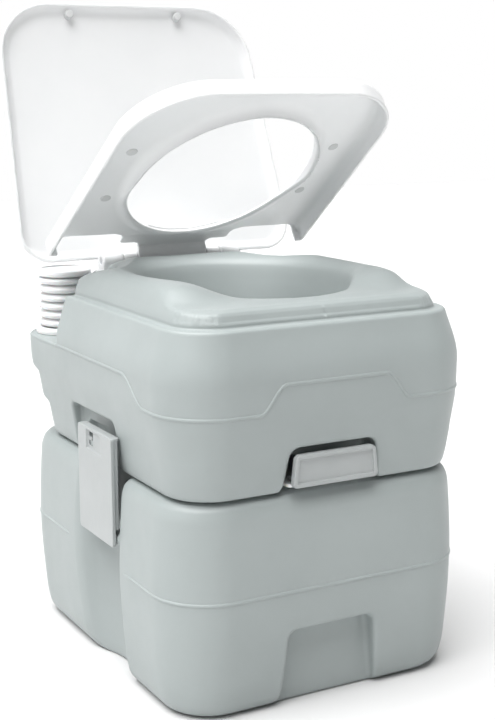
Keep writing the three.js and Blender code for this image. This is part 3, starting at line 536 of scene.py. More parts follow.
def flush_tank(x, y, z):
    half, front, back, radius = through(z, FLUSH_ROWS)
    corner = np.where(y > 0, radius * 0.78, radius)
    tank = rounded_rect(x, y, half, front, back, corner)
    tank = convex(tank, slab(z, FLUSH_BOTTOM, SHOULDER_Z), 2.6)
    tank = merge(tank, np.maximum(collar(x, y, z), 300 - z), 2.2)
    pocket = convex(x + 88, 92 - y, 20)
    tank = carve(tank, convex(pocket, PUMP_SHELF - z, 5), 4.5)
    half_x, half_y, centre = through(z, BOWL_ROWS)
    tank = carve(tank, np.maximum(oval(x, y, half_x, half_y, centre), 224 - z), 3.4)
    notch = flared_gap(x, z, 210, (53, 222), (47, 260), 9, 16)
    tank = carve(tank, convex(notch, y + 176, 4), 2.6)
    for side, _ in SIDES:
        recess = convex(slab(y, -50, 62), z - 267, 7)
        recess = convex(recess, RECESS_FLOOR - side * x, 4)
        tank = carve(tank, np.maximum(recess, 205 - z), 3)
        hook = block(side * x, y, z, (136, 170), (-12, 48), (228, 250), 9)
        tank = carve(tank, hook, 2)
    neck_wall = np.maximum(np.hypot(x, y - OUTLET_Y) - 52, 236.6 - z)
    tunnel = block(x, y, z, (-62, 62), (-184, 50), (200, 246), 4)
    tank = carve(tank, carve(tunnel, neck_wall, 1.5), 1.5)
    filler = np.hypot(x - FILLER[0], y - FILLER[1]) - 26
    tank = carve(tank, convex(filler, FILLER_FLOOR - z, 3), 2)
    for span in HINGE_PADS:
        pad = block(x, y, z, span, (134, 179), (HINGE_PAD_Z, 430), 3)
        tank = carve(tank, pad, 1.4)
    return tank


# ------------------------------------------------------------------ parting beads
def outline_walk(half, front, back, front_radius, back_radius, spacing=3.0):
    """Evenly spaced points round a rounded rectangle, from the middle of the back."""
    corners = [
        (half, back, back_radius, 0),
        (half, front, front_radius, -90),
        (-half, front, front_radius, -180),
        (-half, back, back_radius, -270),
    ]
    path = [np.array([0.0, back])]
    for x, y, radius, start in corners:
        centre = np.array([x - math.copysign(radius, x), y - math.copysign(radius, y)])
        for k in range(25):
            angle = math.radians(start + 90 - 90 * k / 24)
            path.append(centre + radius * np.array([math.cos(angle), math.sin(angle)]))
    path.append(path[0])
    path = np.array(path)
    length = np.concatenate([[0], np.cumsum(np.linalg.norm(np.diff(path, axis=0), axis=1))])
    places = np.linspace(0, length[-1], int(length[-1] / spacing), endpoint=False)
    return np.stack([np.interp(places, length, path[:, k]) for k in range(2)], axis=1)


def bead_height(x, y):
    front = step_between(-np.abs(x), -BEAD_FRONT_X[0], -BEAD_FRONT_X[1]) * (y < -200)
    side = step_between(y, *BEAD_SIDE_Y)
    return BEAD_LOW + (BEAD_HIGH - BEAD_LOW) * np.maximum(front, side)


BEAD_SIDES = 12
BEAD_RISE = 1.25
BEAD_HALF_WIDTH = 1.9
BEAD_SUNK = 0.25


def bead(name, field, path, closed):
    """A thin rounded ridge laid along a path on a field's surface, tapered where it ends."""
    centre, normal = onto_surface(field, path, 3.0, rounds=5)
    if closed:
        tangent = np.roll(centre, -1, axis=0) - np.roll(centre, 1, axis=0)
        size = np.ones(len(centre))
    else:
        tangent = np.gradient(centre, axis=0)
        ends = np.minimum(np.arange(len(centre)), np.arange(len(centre))[::-1])
        size = np.clip(ends / 5, 0.05, 1)
    tangent /= np.linalg.norm(tangent, axis=1)[:, None]
    across = np.cross(tangent, normal)
    across /= np.linalg.norm(across, axis=1)[:, None]
    ring = []
    for k in range(BEAD_SIDES):
        angle = 2 * math.pi * k / BEAD_SIDES
        out = BEAD_RISE * math.sin(angle) * size - BEAD_SUNK
        wide = BEAD_HALF_WIDTH * math.cos(angle) * size
        ring.append(centre + normal * out[:, None] + across * wide[:, None])
    rings = np.stack(ring, axis=1)
    count = len(centre)
    span = count if closed else count - 1
    faces = []
    for i in range(span):
        here = i * BEAD_SIDES
        ahead = (i + 1) % count * BEAD_SIDES
        for k in range(BEAD_SIDES):
            after = (k + 1) % BEAD_SIDES
            faces.append([here + k, here + after, ahead + after, ahead + k])
    if not closed:
        last = (count - 1) * BEAD_SIDES
        faces.append(list(range(BEAD_SIDES)))
        faces.append([last + k for k in range(BEAD_SIDES)][::-1])
    mesh = bpy.data.meshes.new(name)
    mesh.from_pydata((rings.reshape(-1, 3) * MM).tolist(), [], faces)
    obj = bpy.data.objects.new(name, mesh)
    bpy.context.scene.collection.objects.link(obj)
    tidy_mesh(obj)
    return obj


# ------------------------------------------------------------------ seat and lid
SEAT_TOP = 416.5
SEAT_SKIRT = 395.1
LID_RIM = 417
LID_TOP = 430


def tapered_outline(x, y, front, back, front_radius, back_radius):
    """Straight sides from (half, y) at the front to (half, y) at the back, with round corners."""
    half_front, y_front = front
    half_back, y_back = back
    slope = (half_back - half_front) / (y_back - y_front)
    side = (np.abs(x) - half_front - (y - y_front) * slope) / math.hypot(1, slope)
    return convex(convex(side, y_front - y, front_radius), y - y_back, back_radius)


def hinge_eye(x, y, z, span, radius, web):
    """A lug round the hinge pin, hung from a plate by a web given by its four sides."""
    eye = np.hypot(y - HINGE_Y, z - HINGE_Z) - radius
    return convex(merge(eye, web, 2.5), slab(np.abs(x), *span), 1.3)


def pin_bore(y, z):
    return np.hypot(y - HINGE_Y, z - HINGE_Z) - EYE_BORE


def seat(x, y, z):
    edge = tapered_outline(x, y, (148.6, -169.8), (160.7, 124.9), 78, 5)
    hole = oval(x, y, 100.4, 116.9, -6.7)
    dish = 3.2 * np.exp(-((np.maximum(hole, 0) / 24) ** 2))
    shell = convex(edge, z + dish - SEAT_TOP, 8)
    shell = convex(shell, SEAT_SKIRT - z, 1.2)
    under = convex(edge + 4, z + dish - SEAT_TOP + 4, 9)
    lip = convex(hole - 3.8, 397.4 + 14.6 * step_between(y, -20, 60) - z, 1)
    shell = carve(shell, carve(under, lip, 11), 1.2)
    beneath = convex(114 - y, np.abs(x) - 148, 3)
    shell = carve(shell, convex(beneath, z - SEAT_TOP + 4.2, 3), 1)
    tongue = convex(slab(y, 100, 136), np.abs(x) - 68.8, 6)
    tongue = merge(tongue, convex(slab(y, 100, 159.5), np.abs(x) - 43, 5), 8)
    shell = merge(shell, convex(tongue, slab(z, SEAT_TOP - 4, SEAT_TOP), 1.4), 1)
    gap = convex(slab(np.abs(x), 69, 150), 114 - y, 12)
    shell = carve(shell, gap, 1.6)
    shell = carve(shell, hole, 5)
    web = convex(slab(y, 142, 159.4), slab(z, HINGE_Z, SEAT_TOP - 1), 1)
    web = convex(web, 402 - z + (146 - y) * 1.25, 1)
    lug = hinge_eye(x, y, z, (-1, 43), 7.8, web)
    shell = merge(shell, lug, 1.5)
    return carve(shell, np.maximum(pin_bore(y, z), 26 - np.abs(x)), 0.4)


def lid(x, y, z):
    edge = tapered_outline(x, y, (158.5, -158.5), (173.7, 147.8), 64, 36)
    crown = 1.2 * step_between(-edge, 4, 60)
    shell = convex(edge, z - LID_TOP + 1.2 - crown, 8)
    shell = convex(shell, LID_RIM - z, 1)
    inside = convex(edge + 3.2, z - LID_TOP + 5.2 - crown, 11)
    shell = carve(shell, inside, 1)
    web = convex(slab(y, 128, 161.5), slab(z, HINGE_Z, LID_TOP - 2), 1)
    web = convex(web, (402 - z + (146 - y) * 2.5) / 2.7, 1)
    web = convex(web, z - 405 - (161 - y) * 2.2, 2)
    lug = hinge_eye(x, y, z, (44, 61.4), 8.2, web)
    shell = merge(shell, lug, 1.5)
    return carve(shell, np.maximum(pin_bore(y, z), 43.5 - np.abs(x)), 0.4)


def hinge_bracket(x, y, z, side):
    place = side * x
    span = (62.6, 87)
    foot = block(place, y, z, span, (136.5, 172.5), (387.3, 391), 1.2)
    post = block(place, y, z, span, (145.6, 163.2), (389, HINGE_Z), 1.2)
    eye = round_bar(y, z, place, (HINGE_Y, HINGE_Z), 10, span, 2)
    body = merge(foot, merge(post, eye, 1), 2.5)
    return carve(body, pin_bore(y, z), 0.3)


# ------------------------------------------------------------------ side latches
def latch(x, y, z, side):
    out = side * x
    face = convex(slab(y, -63, 23.4), slab(z, 142.4, 254.2), 3.5)
    plate = convex(face, slab(out, 168, 172), 0.9)
    finger = block(out, y, z, (169.7, 180), (-37, 1), (231, 251), 2.2)
    plate = carve(plate, finger, 0.7)
    slot = block(out, y, z, (160, 180), (-12, -1.5), (235, 249), 1.5)
    plate = carve(plate, slot, 0.4)
    top = block(out, y, z, (162, 169.5), (-61, 21.4), (250.6, 254.2), 1)
    plate = merge(plate, top, 1)
    for span in ((-62, -59.6), (20, 22.4)):
        plate = merge(plate, block(out, y, z, (164, 169.5), span, (160, 253.7), 0.8), 1)
    hook = block(out, y, z, (150.8, 169.5), (-8, 14), (240, 244), 1)
    tip = block(out, y, z, (150.8, 154), (-8, 14), (236, 244), 1)
    plate = merge(plate, merge(hook, tip, 1), 1)
    knuckle = round_bar(out, z, y, LATCH_PIN, 6.4, (-58.8, 19.4))
    web = block(out, y, z, (160, 169.5), (-58.8, 19.4), (144.4, 154), 1)
    plate = merge(plate, merge(knuckle, web, 1), 1)
    bore = np.hypot(out - LATCH_PIN[0], z - LATCH_PIN[1]) - 3.3
    return carve(plate, bore, 0.3)


# ------------------------------------------------------------------ slide valve
def valve_handle(x, y, z):
    half = 48 - (z - 222) * 3.5 / 32
    face = convex(np.abs(x) - half, slab(z, 222, 254), 5)
    panel = convex(face, slab(y, -206, -199.2), 1.3)
    sunk = convex(face + 4.4, y + 203.9, 0.6)
    panel = carve(panel, sunk, 0.8)
    hollow = convex(face + 3, -202.2 - y, 1)
    panel = carve(panel, hollow, 0.6)
    panel = merge(panel, block(x, y, z, (-40, 40), (-203, -180), (224.2, 229), 1), 1)
    for centre in (-30, 0, 30):
        rib = block(x, y, z, (centre - 1.5, centre + 1.5), (-203, -186), (228, 247), 0.8)
        panel = merge(panel, rib, 0.8)
    return panel


def valve_blade(x, y, z):
    half = np.where(y < -150, 47 + (y + 196) * 3 / 46, 50)
    plate = convex(np.abs(x) - half, slab(y, -196, 22), 6)
    return convex(plate, slab(z, 220.5, 223.9), 0.7)


def valve_cover(x, y, z):
    plate = convex(np.abs(x) - 60, slab(y, -114, 46), 8)
    cover = convex(plate, slab(z, 220.3, 227.4), 1)
    reach = np.hypot(x, y - OUTLET_Y)
    rim = convex(reach - 56, slab(z, 222, 229), 1)
    cover = merge(cover, rim, 1.5)
    for angle in (45, 135):
        turn = math.radians(angle)
        rib = np.abs(x * math.sin(turn) - (y - OUTLET_Y) * math.cos(turn)) - 1.6
        rib = convex(convex(rib, plate + 4, 1), slab(z, 222, 228.6), 0.6)
        cover = merge(cover, rib, 1)
    for sx, sy in VALVE_SCREWS:
        boss = convex(np.hypot(x - sx, y - sy) - 6.2, slab(z, 221, 229), 0.8)
        cover = merge(cover, boss, 1)
        cover = carve(cover, np.hypot(x - sx, y - sy) - 2.4, 0.3)
    slot = block(x, y, z, (-50.4, 50.4), (-130, 24.5), (215, 224.2), 0.6)
    cover = carve(cover, slot, 0.3)
    return carve(cover, reach - NECK_RADIUS, 0.8)


def pan_screw(x, y, z, place, seat_z, length, head):
    """A pan-head screw with a cross recess."""
    u = x - place[0]
    v = y - place[1]
    reach = np.hypot(u, v)
    ball = head * 1.6
    dome = np.sqrt(reach**2 + (z - seat_z - 2.3 + ball) ** 2) - ball
    cap = convex(convex(reach - head, seat_z - z, 0.4), dome, 0.5)
    shank = convex(reach - 2, slab(z, seat_z - length, seat_z + 0.5), 0.4)
    screw = merge(cap, shank, 0.2)
    depth = seat_z + 0.8 - z
    for a, b in ((u, v), (v, u)):
        slot = convex(np.abs(a) - 0.5, np.abs(b) - head * 0.55, 0.2)
        screw = carve(screw, np.maximum(slot, depth), 0.15)
    return screw


# ------------------------------------------------------------------ spout and caps
def pour_spout(x, y, z):
    flange = round_bar(x, y, z, SPOUT, 24, (SPOUT_FLOOR + 2.4, SPOUT_FLOOR + 6), 1)
    rise = round_bar(x, y, z, SPOUT, 19, (SPOUT_FLOOR + 3, SPOUT_AXIS), 0.5)
    ball = np.sqrt((x - SPOUT[0]) ** 2 + (y - SPOUT[1]) ** 2 + (z - SPOUT_AXIS) ** 2) - 19.2
    arm = round_bar(y, z, x, (SPOUT[1], SPOUT_AXIS), 19, (33, SPOUT[0]), 2)
    neck = round_bar(y, z, x, (SPOUT[1], SPOUT_AXIS), 16, (5, 36), 1)
    body = merge(merge(rise, ball, 3), arm, 3)
    body = merge(merge(body, flange, 3), neck, 1)
    band = round_bar(y, z, x, (SPOUT[1], SPOUT_AXIS), 20.4, (84, 90), 1)
    body = merge(body, band, 1)
    bore = round_bar(y, z, x, (SPOUT[1], SPOUT_AXIS), 13.5, (0, 112), 1)
    return carve(body, bore, 0.8)


def ribbed(angle, count, depth):
    """How far a grip of rounded ribs cuts into a cap at an angle."""
    return depth * (0.5 - 0.5 * np.cos(count * angle)) ** 1.5


def spout_cap(x, y, z):
    u = y - SPOUT[1]
    v = z - SPOUT_AXIS
    reach = np.hypot(u, v)
    grip = ribbed(np.arctan2(v, u), 20, 1.3) * step_between(27 - x, 0, 3)
    shell = convex(reach - 22 + grip, slab(x, -1, 32.5), 2)
    return carve(shell, convex(reach - 16.5, 3 - x, 0.5), 0.6)


def filler_cap(x, y, z):
    u = x - FILLER[0]
    v = y - FILLER[1]
    reach = np.hypot(u, v)
    grip = ribbed(np.arctan2(v, u), 14, 1.8) * step_between(386.2 - z, 0, 2)
    shell = convex(reach - 22 + grip, slab(z, FILLER_FLOOR + 1.6, 388.4), 1.8)
    shell = carve(shell, convex(reach - 18, z - 385.6, 1), 0.6)
    bar = block(u, v, z, (-15, 15), (-3, 3), (386, 392.5), 1.6)
    return merge(shell, bar, 2.2)


def bellows_profile():
    bottom, top = BELLOWS
    heights = np.linspace(bottom, top, BELLOWS_FOLDS * 18 + 1)
    phase = (heights - bottom) / (top - bottom) * BELLOWS_FOLDS
    swell = np.abs(np.sin(math.pi * phase)) ** 0.5
    radius = BELLOWS_VALLEY + BELLOWS_DEPTH * swell
    outer = np.stack([radius, heights], axis=1)
    return np.concatenate([outer, [[BELLOWS_BORE, top], [BELLOWS_BORE, bottom]]])


# ------------------------------------------------------------------ materials
class Paint:
    """A small helper that builds one node material."""

    def __init__(self, name, **settings):
        self.material = bpy.data.materials.new(name)
        self.material.use_nodes = True
        self.tree = self.material.node_tree
        self.shader = self.tree.nodes["Principled BSDF"]
        for socket, value in settings.items():
            self.shader.inputs[socket.replace("_", " ")].default_value = value
        self.place = self.node("ShaderNodeTexCoord").outputs["Object"]

    def node(self, kind, **settings):
        made = self.tree.nodes.new(kind)
        for key, value in settings.items():
            setattr(made, key, value)
        return made

    def link(self, source, target):
        self.tree.links.new(source, target)

    def stretched(self, scale):
        mapping = self.node("ShaderNodeMapping")
        mapping.inputs["Scale"].default_value = scale
        self.link(self.place, mapping.inputs["Vector"])
        return mapping.outputs["Vector"]

    def noise(self, scale, detail=3.0, roughness=0.5, stretch=None):
        made = self.node("ShaderNodeTexNoise")
        made.inputs["Scale"].default_value = scale
        made.inputs["Detail"].default_value = detail
        made.inputs["Roughness"].default_value = roughness
        source = self.stretched(stretch) if stretch else self.place
        self.link(source, made.inputs["Vector"])
        return made.outputs["Fac"]

    def ranged(self, source, from_low, from_high, to_low, to_high):
        made = self.node("ShaderNodeMapRange")
        for socket, value in zip(range(1, 5), (from_low, from_high, to_low, to_high)):
            made.inputs[socket].default_value = value
        self.link(source, made.inputs[0])
        return made.outputs[0]

    def blended(self, share, first, second):
        """A colour between two, each an RGBA tuple or a socket."""
        made = self.node("ShaderNodeMix", data_type="RGBA")
        self.link(share, made.inputs["Factor"])
        for socket, value in ((made.inputs[6], first), (made.inputs[7], second)):
            if isinstance(value, tuple):
                socket.default_value = value
            else:
                self.link(value, socket)
        return made.outputs[2]

    def colour(self, source):
        self.link(source, self.shader.inputs["Base Color"])

    def rough(self, source):
        self.link(source, self.shader.inputs["Roughness"])

    def relief(self, *layers):
        """Bump from (height, strength, distance) layers, laid one on the other."""
        below = None
        for height, strength, distance in layers:
            bump = self.node("ShaderNodeBump")
            bump.inputs["Strength"].default_value = strength
            bump.inputs["Distance"].default_value = distance
            self.link(height, bump.inputs["Height"])
            if below:
                self.link(below, bump.inputs["Normal"])
            below = bump.outputs["Normal"]
        self.link(below, self.shader.inputs["Normal"])


def shade(red, green, blue):
    return (red, green, blue, 1.0)


def low_scuffs(paint, base, worn, reach):
    """Fine scuffing where the tank rubs on the ground, fading out above reach metres."""
    height = paint.node("ShaderNodeSeparateXYZ")
    paint.link(paint.place, height.inputs[0])
    fade = paint.ranged(height.outputs["Z"], 0.0, reach, 1.0, 0.0)
    marks = paint.ranged(paint.noise(260, 6.0, 0.7, (1, 1, 0.25)), 0.52, 0.72, 0.0, 0.7)
    share = paint.node("ShaderNodeMath", operation="MULTIPLY")
    paint.link(fade, share.inputs[0])
    paint.link(marks, share.inputs[1])
    return paint.blended(share.outputs[0], base, worn)


def tank_plastic():
    """Blow-moulded polyethylene: a fine matt grain over slow ripples, with scuffs at the foot."""
    paint = Paint("tank_grey", IOR=1.5)
    paint.shader.inputs["Specular IOR Level"].default_value = 0.42
    cloud = paint.ranged(paint.noise(9, 4.0, 0.55), 0.3, 0.7, 0.0, 1.0)
    base = paint.blended(cloud, shade(0.338, 0.374, 0.371), shade(0.364, 0.402, 0.399))
    speck = paint.ranged(paint.noise(1500, 2.0, 0.6), 0.60, 0.74, 0.0, 0.35)
    base = paint.blended(speck, base, shade(0.42, 0.45, 0.446))
    paint.colour(low_scuffs(paint, base, shade(0.31, 0.335, 0.33), 0.014))
    patches = paint.noise(38, 5.0, 0.6)
    paint.rough(paint.ranged(patches, 0.3, 0.7, 0.36, 0.46))
    grain = paint.noise(2300, 3.0, 0.6)
    ripple = paint.noise(24, 2.0, 0.4)
    paint.relief((ripple, 0.10, 0.004), (grain, 0.14, 0.00022))
    return paint.material


def fitting_plastic():
    """Injection-moulded grey fittings: smoother and a touch lighter than the tanks."""
    paint = Paint("fitting_grey", IOR=1.5)
    cloud = paint.ranged(paint.noise(26, 3.0, 0.5), 0.3, 0.7, 0.0, 1.0)
    paint.colour(paint.blended(cloud, shade(0.380, 0.402, 0.402), shade(0.402, 0.424, 0.424)))
    paint.rough(paint.ranged(paint.noise(90, 4.0, 0.6), 0.3, 0.7, 0.30, 0.38))
    paint.relief((paint.noise(1800, 2.0, 0.5), 0.10, 0.00015))
    return paint.material


def seat_plastic():
    """Glossy white polypropylene with a faint orange-peel skin."""
    paint = Paint("seat_white", IOR=1.5, Coat_Weight=0.15, Coat_Roughness=0.25)
    cloud = paint.ranged(paint.noise(12, 3.0, 0.5), 0.3, 0.7, 0.0, 1.0)
    paint.colour(paint.blended(cloud, shade(0.79, 0.80, 0.805), shade(0.82, 0.827, 0.83)))
    paint.rough(paint.ranged(paint.noise(60, 4.0, 0.6), 0.3, 0.7, 0.30, 0.38))
    peel = paint.noise(420, 2.0, 0.45)
    paint.relief((peel, 0.04, 0.0002))
    return paint.material


def soft_white_plastic():
    """Low-density white polyethylene for the pump, caps and valve: softer and slightly waxy."""
    paint = Paint("fitting_white", IOR=1.5, Subsurface_Weight=0.12, Subsurface_Scale=0.004)
    cloud = paint.ranged(paint.noise(40, 3.0, 0.5), 0.3, 0.7, 0.0, 1.0)
    paint.colour(paint.blended(cloud, shade(0.79, 0.80, 0.805), shade(0.83, 0.838, 0.84)))
    paint.rough(paint.ranged(paint.noise(110, 4.0, 0.6), 0.3, 0.7, 0.34, 0.46))
    paint.relief((paint.noise(1400, 2.0, 0.5), 0.08, 0.00015))
    return paint.material


def rubber(name, dark, light):
    paint = Paint(name, IOR=1.5)
    paint.colour(paint.blended(paint.noise(70, 4.0, 0.6), dark, light))
    paint.rough(paint.ranged(paint.noise(300, 4.0, 0.6), 0.3, 0.7, 0.62, 0.8))
    paint.relief((paint.noise(2600, 3.0, 0.7), 0.3, 0.0002))
    return paint.material


def zinc_steel():
    paint = Paint("steel", Metallic=1.0, Anisotropic=0.4)
    cloud = paint.ranged(paint.noise(420, 4.0, 0.6), 0.3, 0.7, 0.0, 1.0)
    paint.colour(paint.blended(cloud, shade(0.50, 0.51, 0.52), shade(0.64, 0.65, 0.66)))
    paint.rough(paint.ranged(paint.noise(900, 4.0, 0.6), 0.3, 0.7, 0.24, 0.4))
    paint.relief((paint.noise(1600, 3.0, 0.6, (1, 1, 0.1)), 0.12, 0.0001))
    return paint.material


def clear_hose():
    paint = Paint("hose", IOR=1.45, Transmission_Weight=0.55)
    paint.colour(paint.blended(paint.noise(60), shade(0.74, 0.78, 0.79), shade(0.82, 0.85, 0.86)))
    paint.rough(paint.ranged(paint.noise(200), 0.3, 0.7, 0.22, 0.34))
    paint.relief((paint.noise(900), 0.1, 0.0002))
    return paint.material


FINISH = {
    "tank_grey": tank_plastic(),
    "fitting_grey": fitting_plastic(),
    "seat_white": seat_plastic(),
    "fitting_white": soft_white_plastic(),
    "seal_rubber": rubber("seal_rubber", shade(0.014, 0.014, 0.015), shade(0.03, 0.03, 0.031)),
    "bumper_rubber": rubber("bumper_rubber", shade(0.56, 0.57, 0.57), shade(0.62, 0.63, 0.63)),
    "steel": zinc_steel(),
    "hose": clear_hose(),
}


def fit(obj, body, finish, *nodes):
    """Give a piece its body and finish, and let it stand for its CAD nodes."""
    obj.data.materials.clear()
    obj.data.materials.append(FINISH[finish])
    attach(obj, body)
    if nodes:
        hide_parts(*nodes)
    return obj


# ------------------------------------------------------------------ the pieces
def add_tanks():
    lower = moulded("waste_tank_body", waste_tank, (-168, -203, 0), (168, 203, WASTE_TOP), 2.4)
    fit(lower, "waste", "tank_grey", "waste_tank")
    upper = moulded("flush_tank_body", flush_tank, (-168, -208, 215), (168, 208, 411), 2.4)
    fit(upper, "flush", "tank_grey", "flush_tank")


def add_beads():
    walk = outline_walk(168, -203, 203, 59, 59)
    heights = np.full(len(walk), WASTE_BEAD_Z)
    path = np.column_stack([walk, heights])
    front = path[path[:, 1] < -73]
    back_right = path[(path[:, 1] > 58) & (path[:, 0] >= 0)]
    back_left = path[(path[:, 1] > 58) & (path[:, 0] < 0)]
    back = np.concatenate([back_left, back_right])
    for name, part in (("waste_bead_front", front), ("waste_bead_back", back)):
        fit(bead(name, waste_tank, part, False), "waste", "tank_grey")
    walk = outline_walk(168, -207.5, 207.5, 58.6, 45.7)
    path = np.column_stack([walk, bead_height(walk[:, 0], walk[:, 1])])
    fit(bead("flush_bead", flush_tank, path, True), "flush", "tank_grey")


def add_seat_and_lid():
    open_seat = hinged(SEAT_OPEN)
    made = moulded("seat_shell", seat, (-161, -170, 394), (161, 163, 417), 1.7, open_seat)
    fit(made, "seat", "seat_white", "toilet_seat")
    open_lid = hinged(LID_OPEN)
    made = moulded("lid_shell", lid, (-174, -159, 393), (174, 163, 430), 1.7, open_lid)
    fit(made, "cover", "seat_white", "lid")
    for side, label in SIDES:
        bracket = moulded(
            f"hinge_bracket_{label}_body",
            lambda x, y, z: hinge_bracket(x, y, z, side),
            (62 if side > 0 else -87.5, 136, 387),
            (87.5 if side > 0 else -62, 173, 413),
            0.8,
        )
        fit(bracket, "flush", "seat_white", f"hinge_bracket_{label}")
        start = 26 if side > 0 else -87
        rod = [[0, 0, 0], [PIN_RADIUS, 0, 0.8], [PIN_RADIUS, 61, 0.8], [0, 61, 0]]
        pin = turned(f"hinge_pin_{label}_rod", rounded_profile(rod), (start, HINGE_Y, HINGE_Z),
                     32, (1, 0, 0))
        fit(pin, "flush", "steel", f"hinge_pin_{label}")


def add_bumpers():
    """Soft buttons under the seat and lid, made closed and swung open with them."""
    seat_feet = [(-118, 34), (118, 34), (-118, -52), (118, -52)]
    lid_feet = [(-70, -146), (70, -146)]
    feet = [("seat_bumper", "seat", SEAT_OPEN, 6, 410.4, 412.9, seat_feet),
            ("lid_bumper", "cover", LID_OPEN, 5, 416.9, 425.7, lid_feet)]
    for name, body, angle, radius, low, high, places in feet:
        turn = hinged(angle)
        aim = turn(np.zeros((1, 3)), np.array([[0.0, 0.0, 1.0]]))[1][0]
        for k, (x, y) in enumerate(places, 1):
            spot = turn(np.array([[x, y, low]], float), np.zeros((1, 3)))[0][0]
            depth = high - low
            button = [[0, 0, 0], [radius, 0, 1.2], [radius * 0.94, depth, 0.3], [0, depth, 0]]
            made = turned(f"{name}_{k}_pad", rounded_profile(button), spot, 40, aim)
            fit(made, body, "bumper_rubber", f"{name}_{k}")


def add_latches():
    for side, label in SIDES:
        low, high = (150, 173) if side > 0 else (-173, -150)
        made = moulded(
            f"latch_{label}_plate",
            lambda x, y, z: latch(x, y, z, side),
            (low, -64, 142),
            (high, 24, 255),
            1.0,
        )
        fit(made, f"latch_{label[0]}", "fitting_grey", f"latch_{label}")
        rod = [[0, 0, 0], [3, 0, 0.6], [3, 92.5, 0.6], [0, 92.5, 0]]
        pin = turned(f"latch_pin_{label}_rod", rounded_profile(rod),
                     (side * LATCH_PIN[0], -66, LATCH_PIN[1]), 32, (0, 1, 0))
        fit(pin, frame["nodes"][f"latch_pin_{label}"]["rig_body"], "steel", f"latch_pin_{label}")


def add_valve():
    handle = moulded("valve_handle_grip", valve_handle, (-49, -206, 222), (49, -180, 254), 0.9)
    fit(handle, "valve", "fitting_grey", "valve_handle")
    blade = moulded("valve_blade_plate", valve_blade, (-50, -196, 220), (50, 22, 224), 1.2)
    fit(blade, "valve", "fitting_white", "valve_blade")
    cover = moulded("valve_cover_plate", valve_cover, (-60, -114, 220), (60, 46, 229), 1.1)
    fit(cover, "waste", "fitting_white", "valve_cover")
    seal = [[46, 229.3, 0], [55, 229.3, 0.5], [55, 231, 0.5], [50.5, 232.5, 1], [51.5, 236.2, 0.8],
            [48, 236.2, 0.8], [46.5, 232, 0]]
    made = turned("bowl_seal_ring", rounded_profile(seal), (0, OUTLET_Y, 0), 96)
    fit(made, "waste", "seal_rubber", "bowl_seal")


def add_screws():
    sets = [("valve_screw", "waste", VALVE_SCREWS, 229.3, 24, 4.2),
            ("bracket_screw", "flush", BRACKET_SCREWS, 391.3, 12, 3.6)]
    for name, body, places, level, length, head in sets:
        for k, place in enumerate(places, 1):
            made = moulded(
                f"{name}_{k}_head",
                lambda x, y, z: pan_screw(x, y, z, place, level, length, head),
                (place[0] - head, place[1] - head, level - length),
                (place[0] + head, place[1] + head, level + 2.4),
                0.4,
            )
            fit(made, body, "steel", f"{name}_{k}")


def add_spout():
    made = moulded("pour_spout_pipe", pour_spout, (4, 153, 160), (143, 203, 208), 1.4)
    fit(made, "spout", "tank_grey", "pour_spout")
    made = moulded("spout_cap_shell", spout_cap, (-1, 156, 166), (33, 200, 210), 0.9)
    fit(made, "spout_cover", "fitting_white", "spout_cap")


def add_pump():
    centre = (*PUMP, 0)
    made = turned("bellows_folds", bellows_profile(), centre, 96)
    fit(made, "flush", "fitting_white", "bellows")
    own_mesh(made)
    cap = [[0, 390.5, 0], [26.6, 390.5, 0.6], [26.6, 388.3, 0.5], [29.4, 388.3, 0.6],
           [30, 391, 1.0], [29.2, 394.2, 1.6], [25.4, 396.2, 2.5], [0, 396.8, 0]]
    made = turned("pump_cap_disc", rounded_profile(cap), centre, 96)
    fit(made, "pump", "fitting_white", "pump_cap")
    collar_ring = [[14, 312, 0], [19.5, 312, 0.5], [19.5, 324.3, 0], [33, 324.3, 0.5],
                   [33, 328, 1.2], [31, 331, 1.2], [14, 331, 0]]
    made = turned("pump_collar_ring", rounded_profile(collar_ring), centre, 96)
    fit(made, "flush", "fitting_white", "pump_collar")
    nozzle = [[3, -7, 0.4], [4.6, -7, 1.0], [6, -3, 1.5], [6, 7.6, 0], [8.6, 7.6, 0.4],
              [8.6, 10.4, 0.4], [3, 10.4, 0]]
    made = turned("flush_nozzle_jet", rounded_profile(nozzle), NOZZLE_PLACE, 48, NOZZLE_AIM)
    fit(made, "flush", "fitting_white", "flush_nozzle")


def add_filler():
    low = (FILLER[0] - 22, FILLER[1] - 22, FILLER_FLOOR + 1)
    high = (FILLER[0] + 22, FILLER[1] + 22, 393)
    made = moulded("filler_cap_shell", filler_cap, low, high, 0.9)
    fit(made, "filler", "fitting_white", "filler_cap")
    neck = [[15, 370, 0], [17.5, 370, 0], [17.5, 384, 0.5], [15, 384, 0.5]]
    made = turned("filler_neck", rounded_profile(neck), (*FILLER, 0), 64)
    fit(made, "flush", "tank_grey")


def finish_kept_nodes():
    """The CAD nodes that stay get the same finishes as the new pieces."""
    kept = {
        "neck_gasket": "seal_rubber",
        "valve_base": "fitting_white",
        "spout_seal": "seal_rubber",
        "spout_cap_seal": "seal_rubber",
        "filler_seal": "seal_rubber",
        "pump_tube": "fitting_white",
        "flush_hose": "hose",
    }
    for name, finish in kept.items():
        data = frame["nodes"][name].data
        data.materials.clear()
        data.materials.append(FINISH[finish])


# ------------------------------------------------------------------ stage, light and camera
def plain_material(name, colour, roughness):
    paint = Paint(name, Roughness=roughness)
    paint.shader.inputs["Base Color"].default_value = colour
    return paint.material


def add_floor():
    mesh = bpy.data.meshes.new("floor")
    reach = 6.0
    corners = [(-reach, -reach, 0), (reach, -reach, 0), (reach, reach, 0), (-reach, reach, 0)]
    mesh.from_pydata(corners, [], [(0, 1, 2, 3)])
    mesh.materials.append(plain_material("pale_floor", shade(0.70, 0.70, 0.70), 0.8))
    floor = bpy.data.objects.new("floor", mesh)
    bpy.context.scene.collection.objects.link(floor)


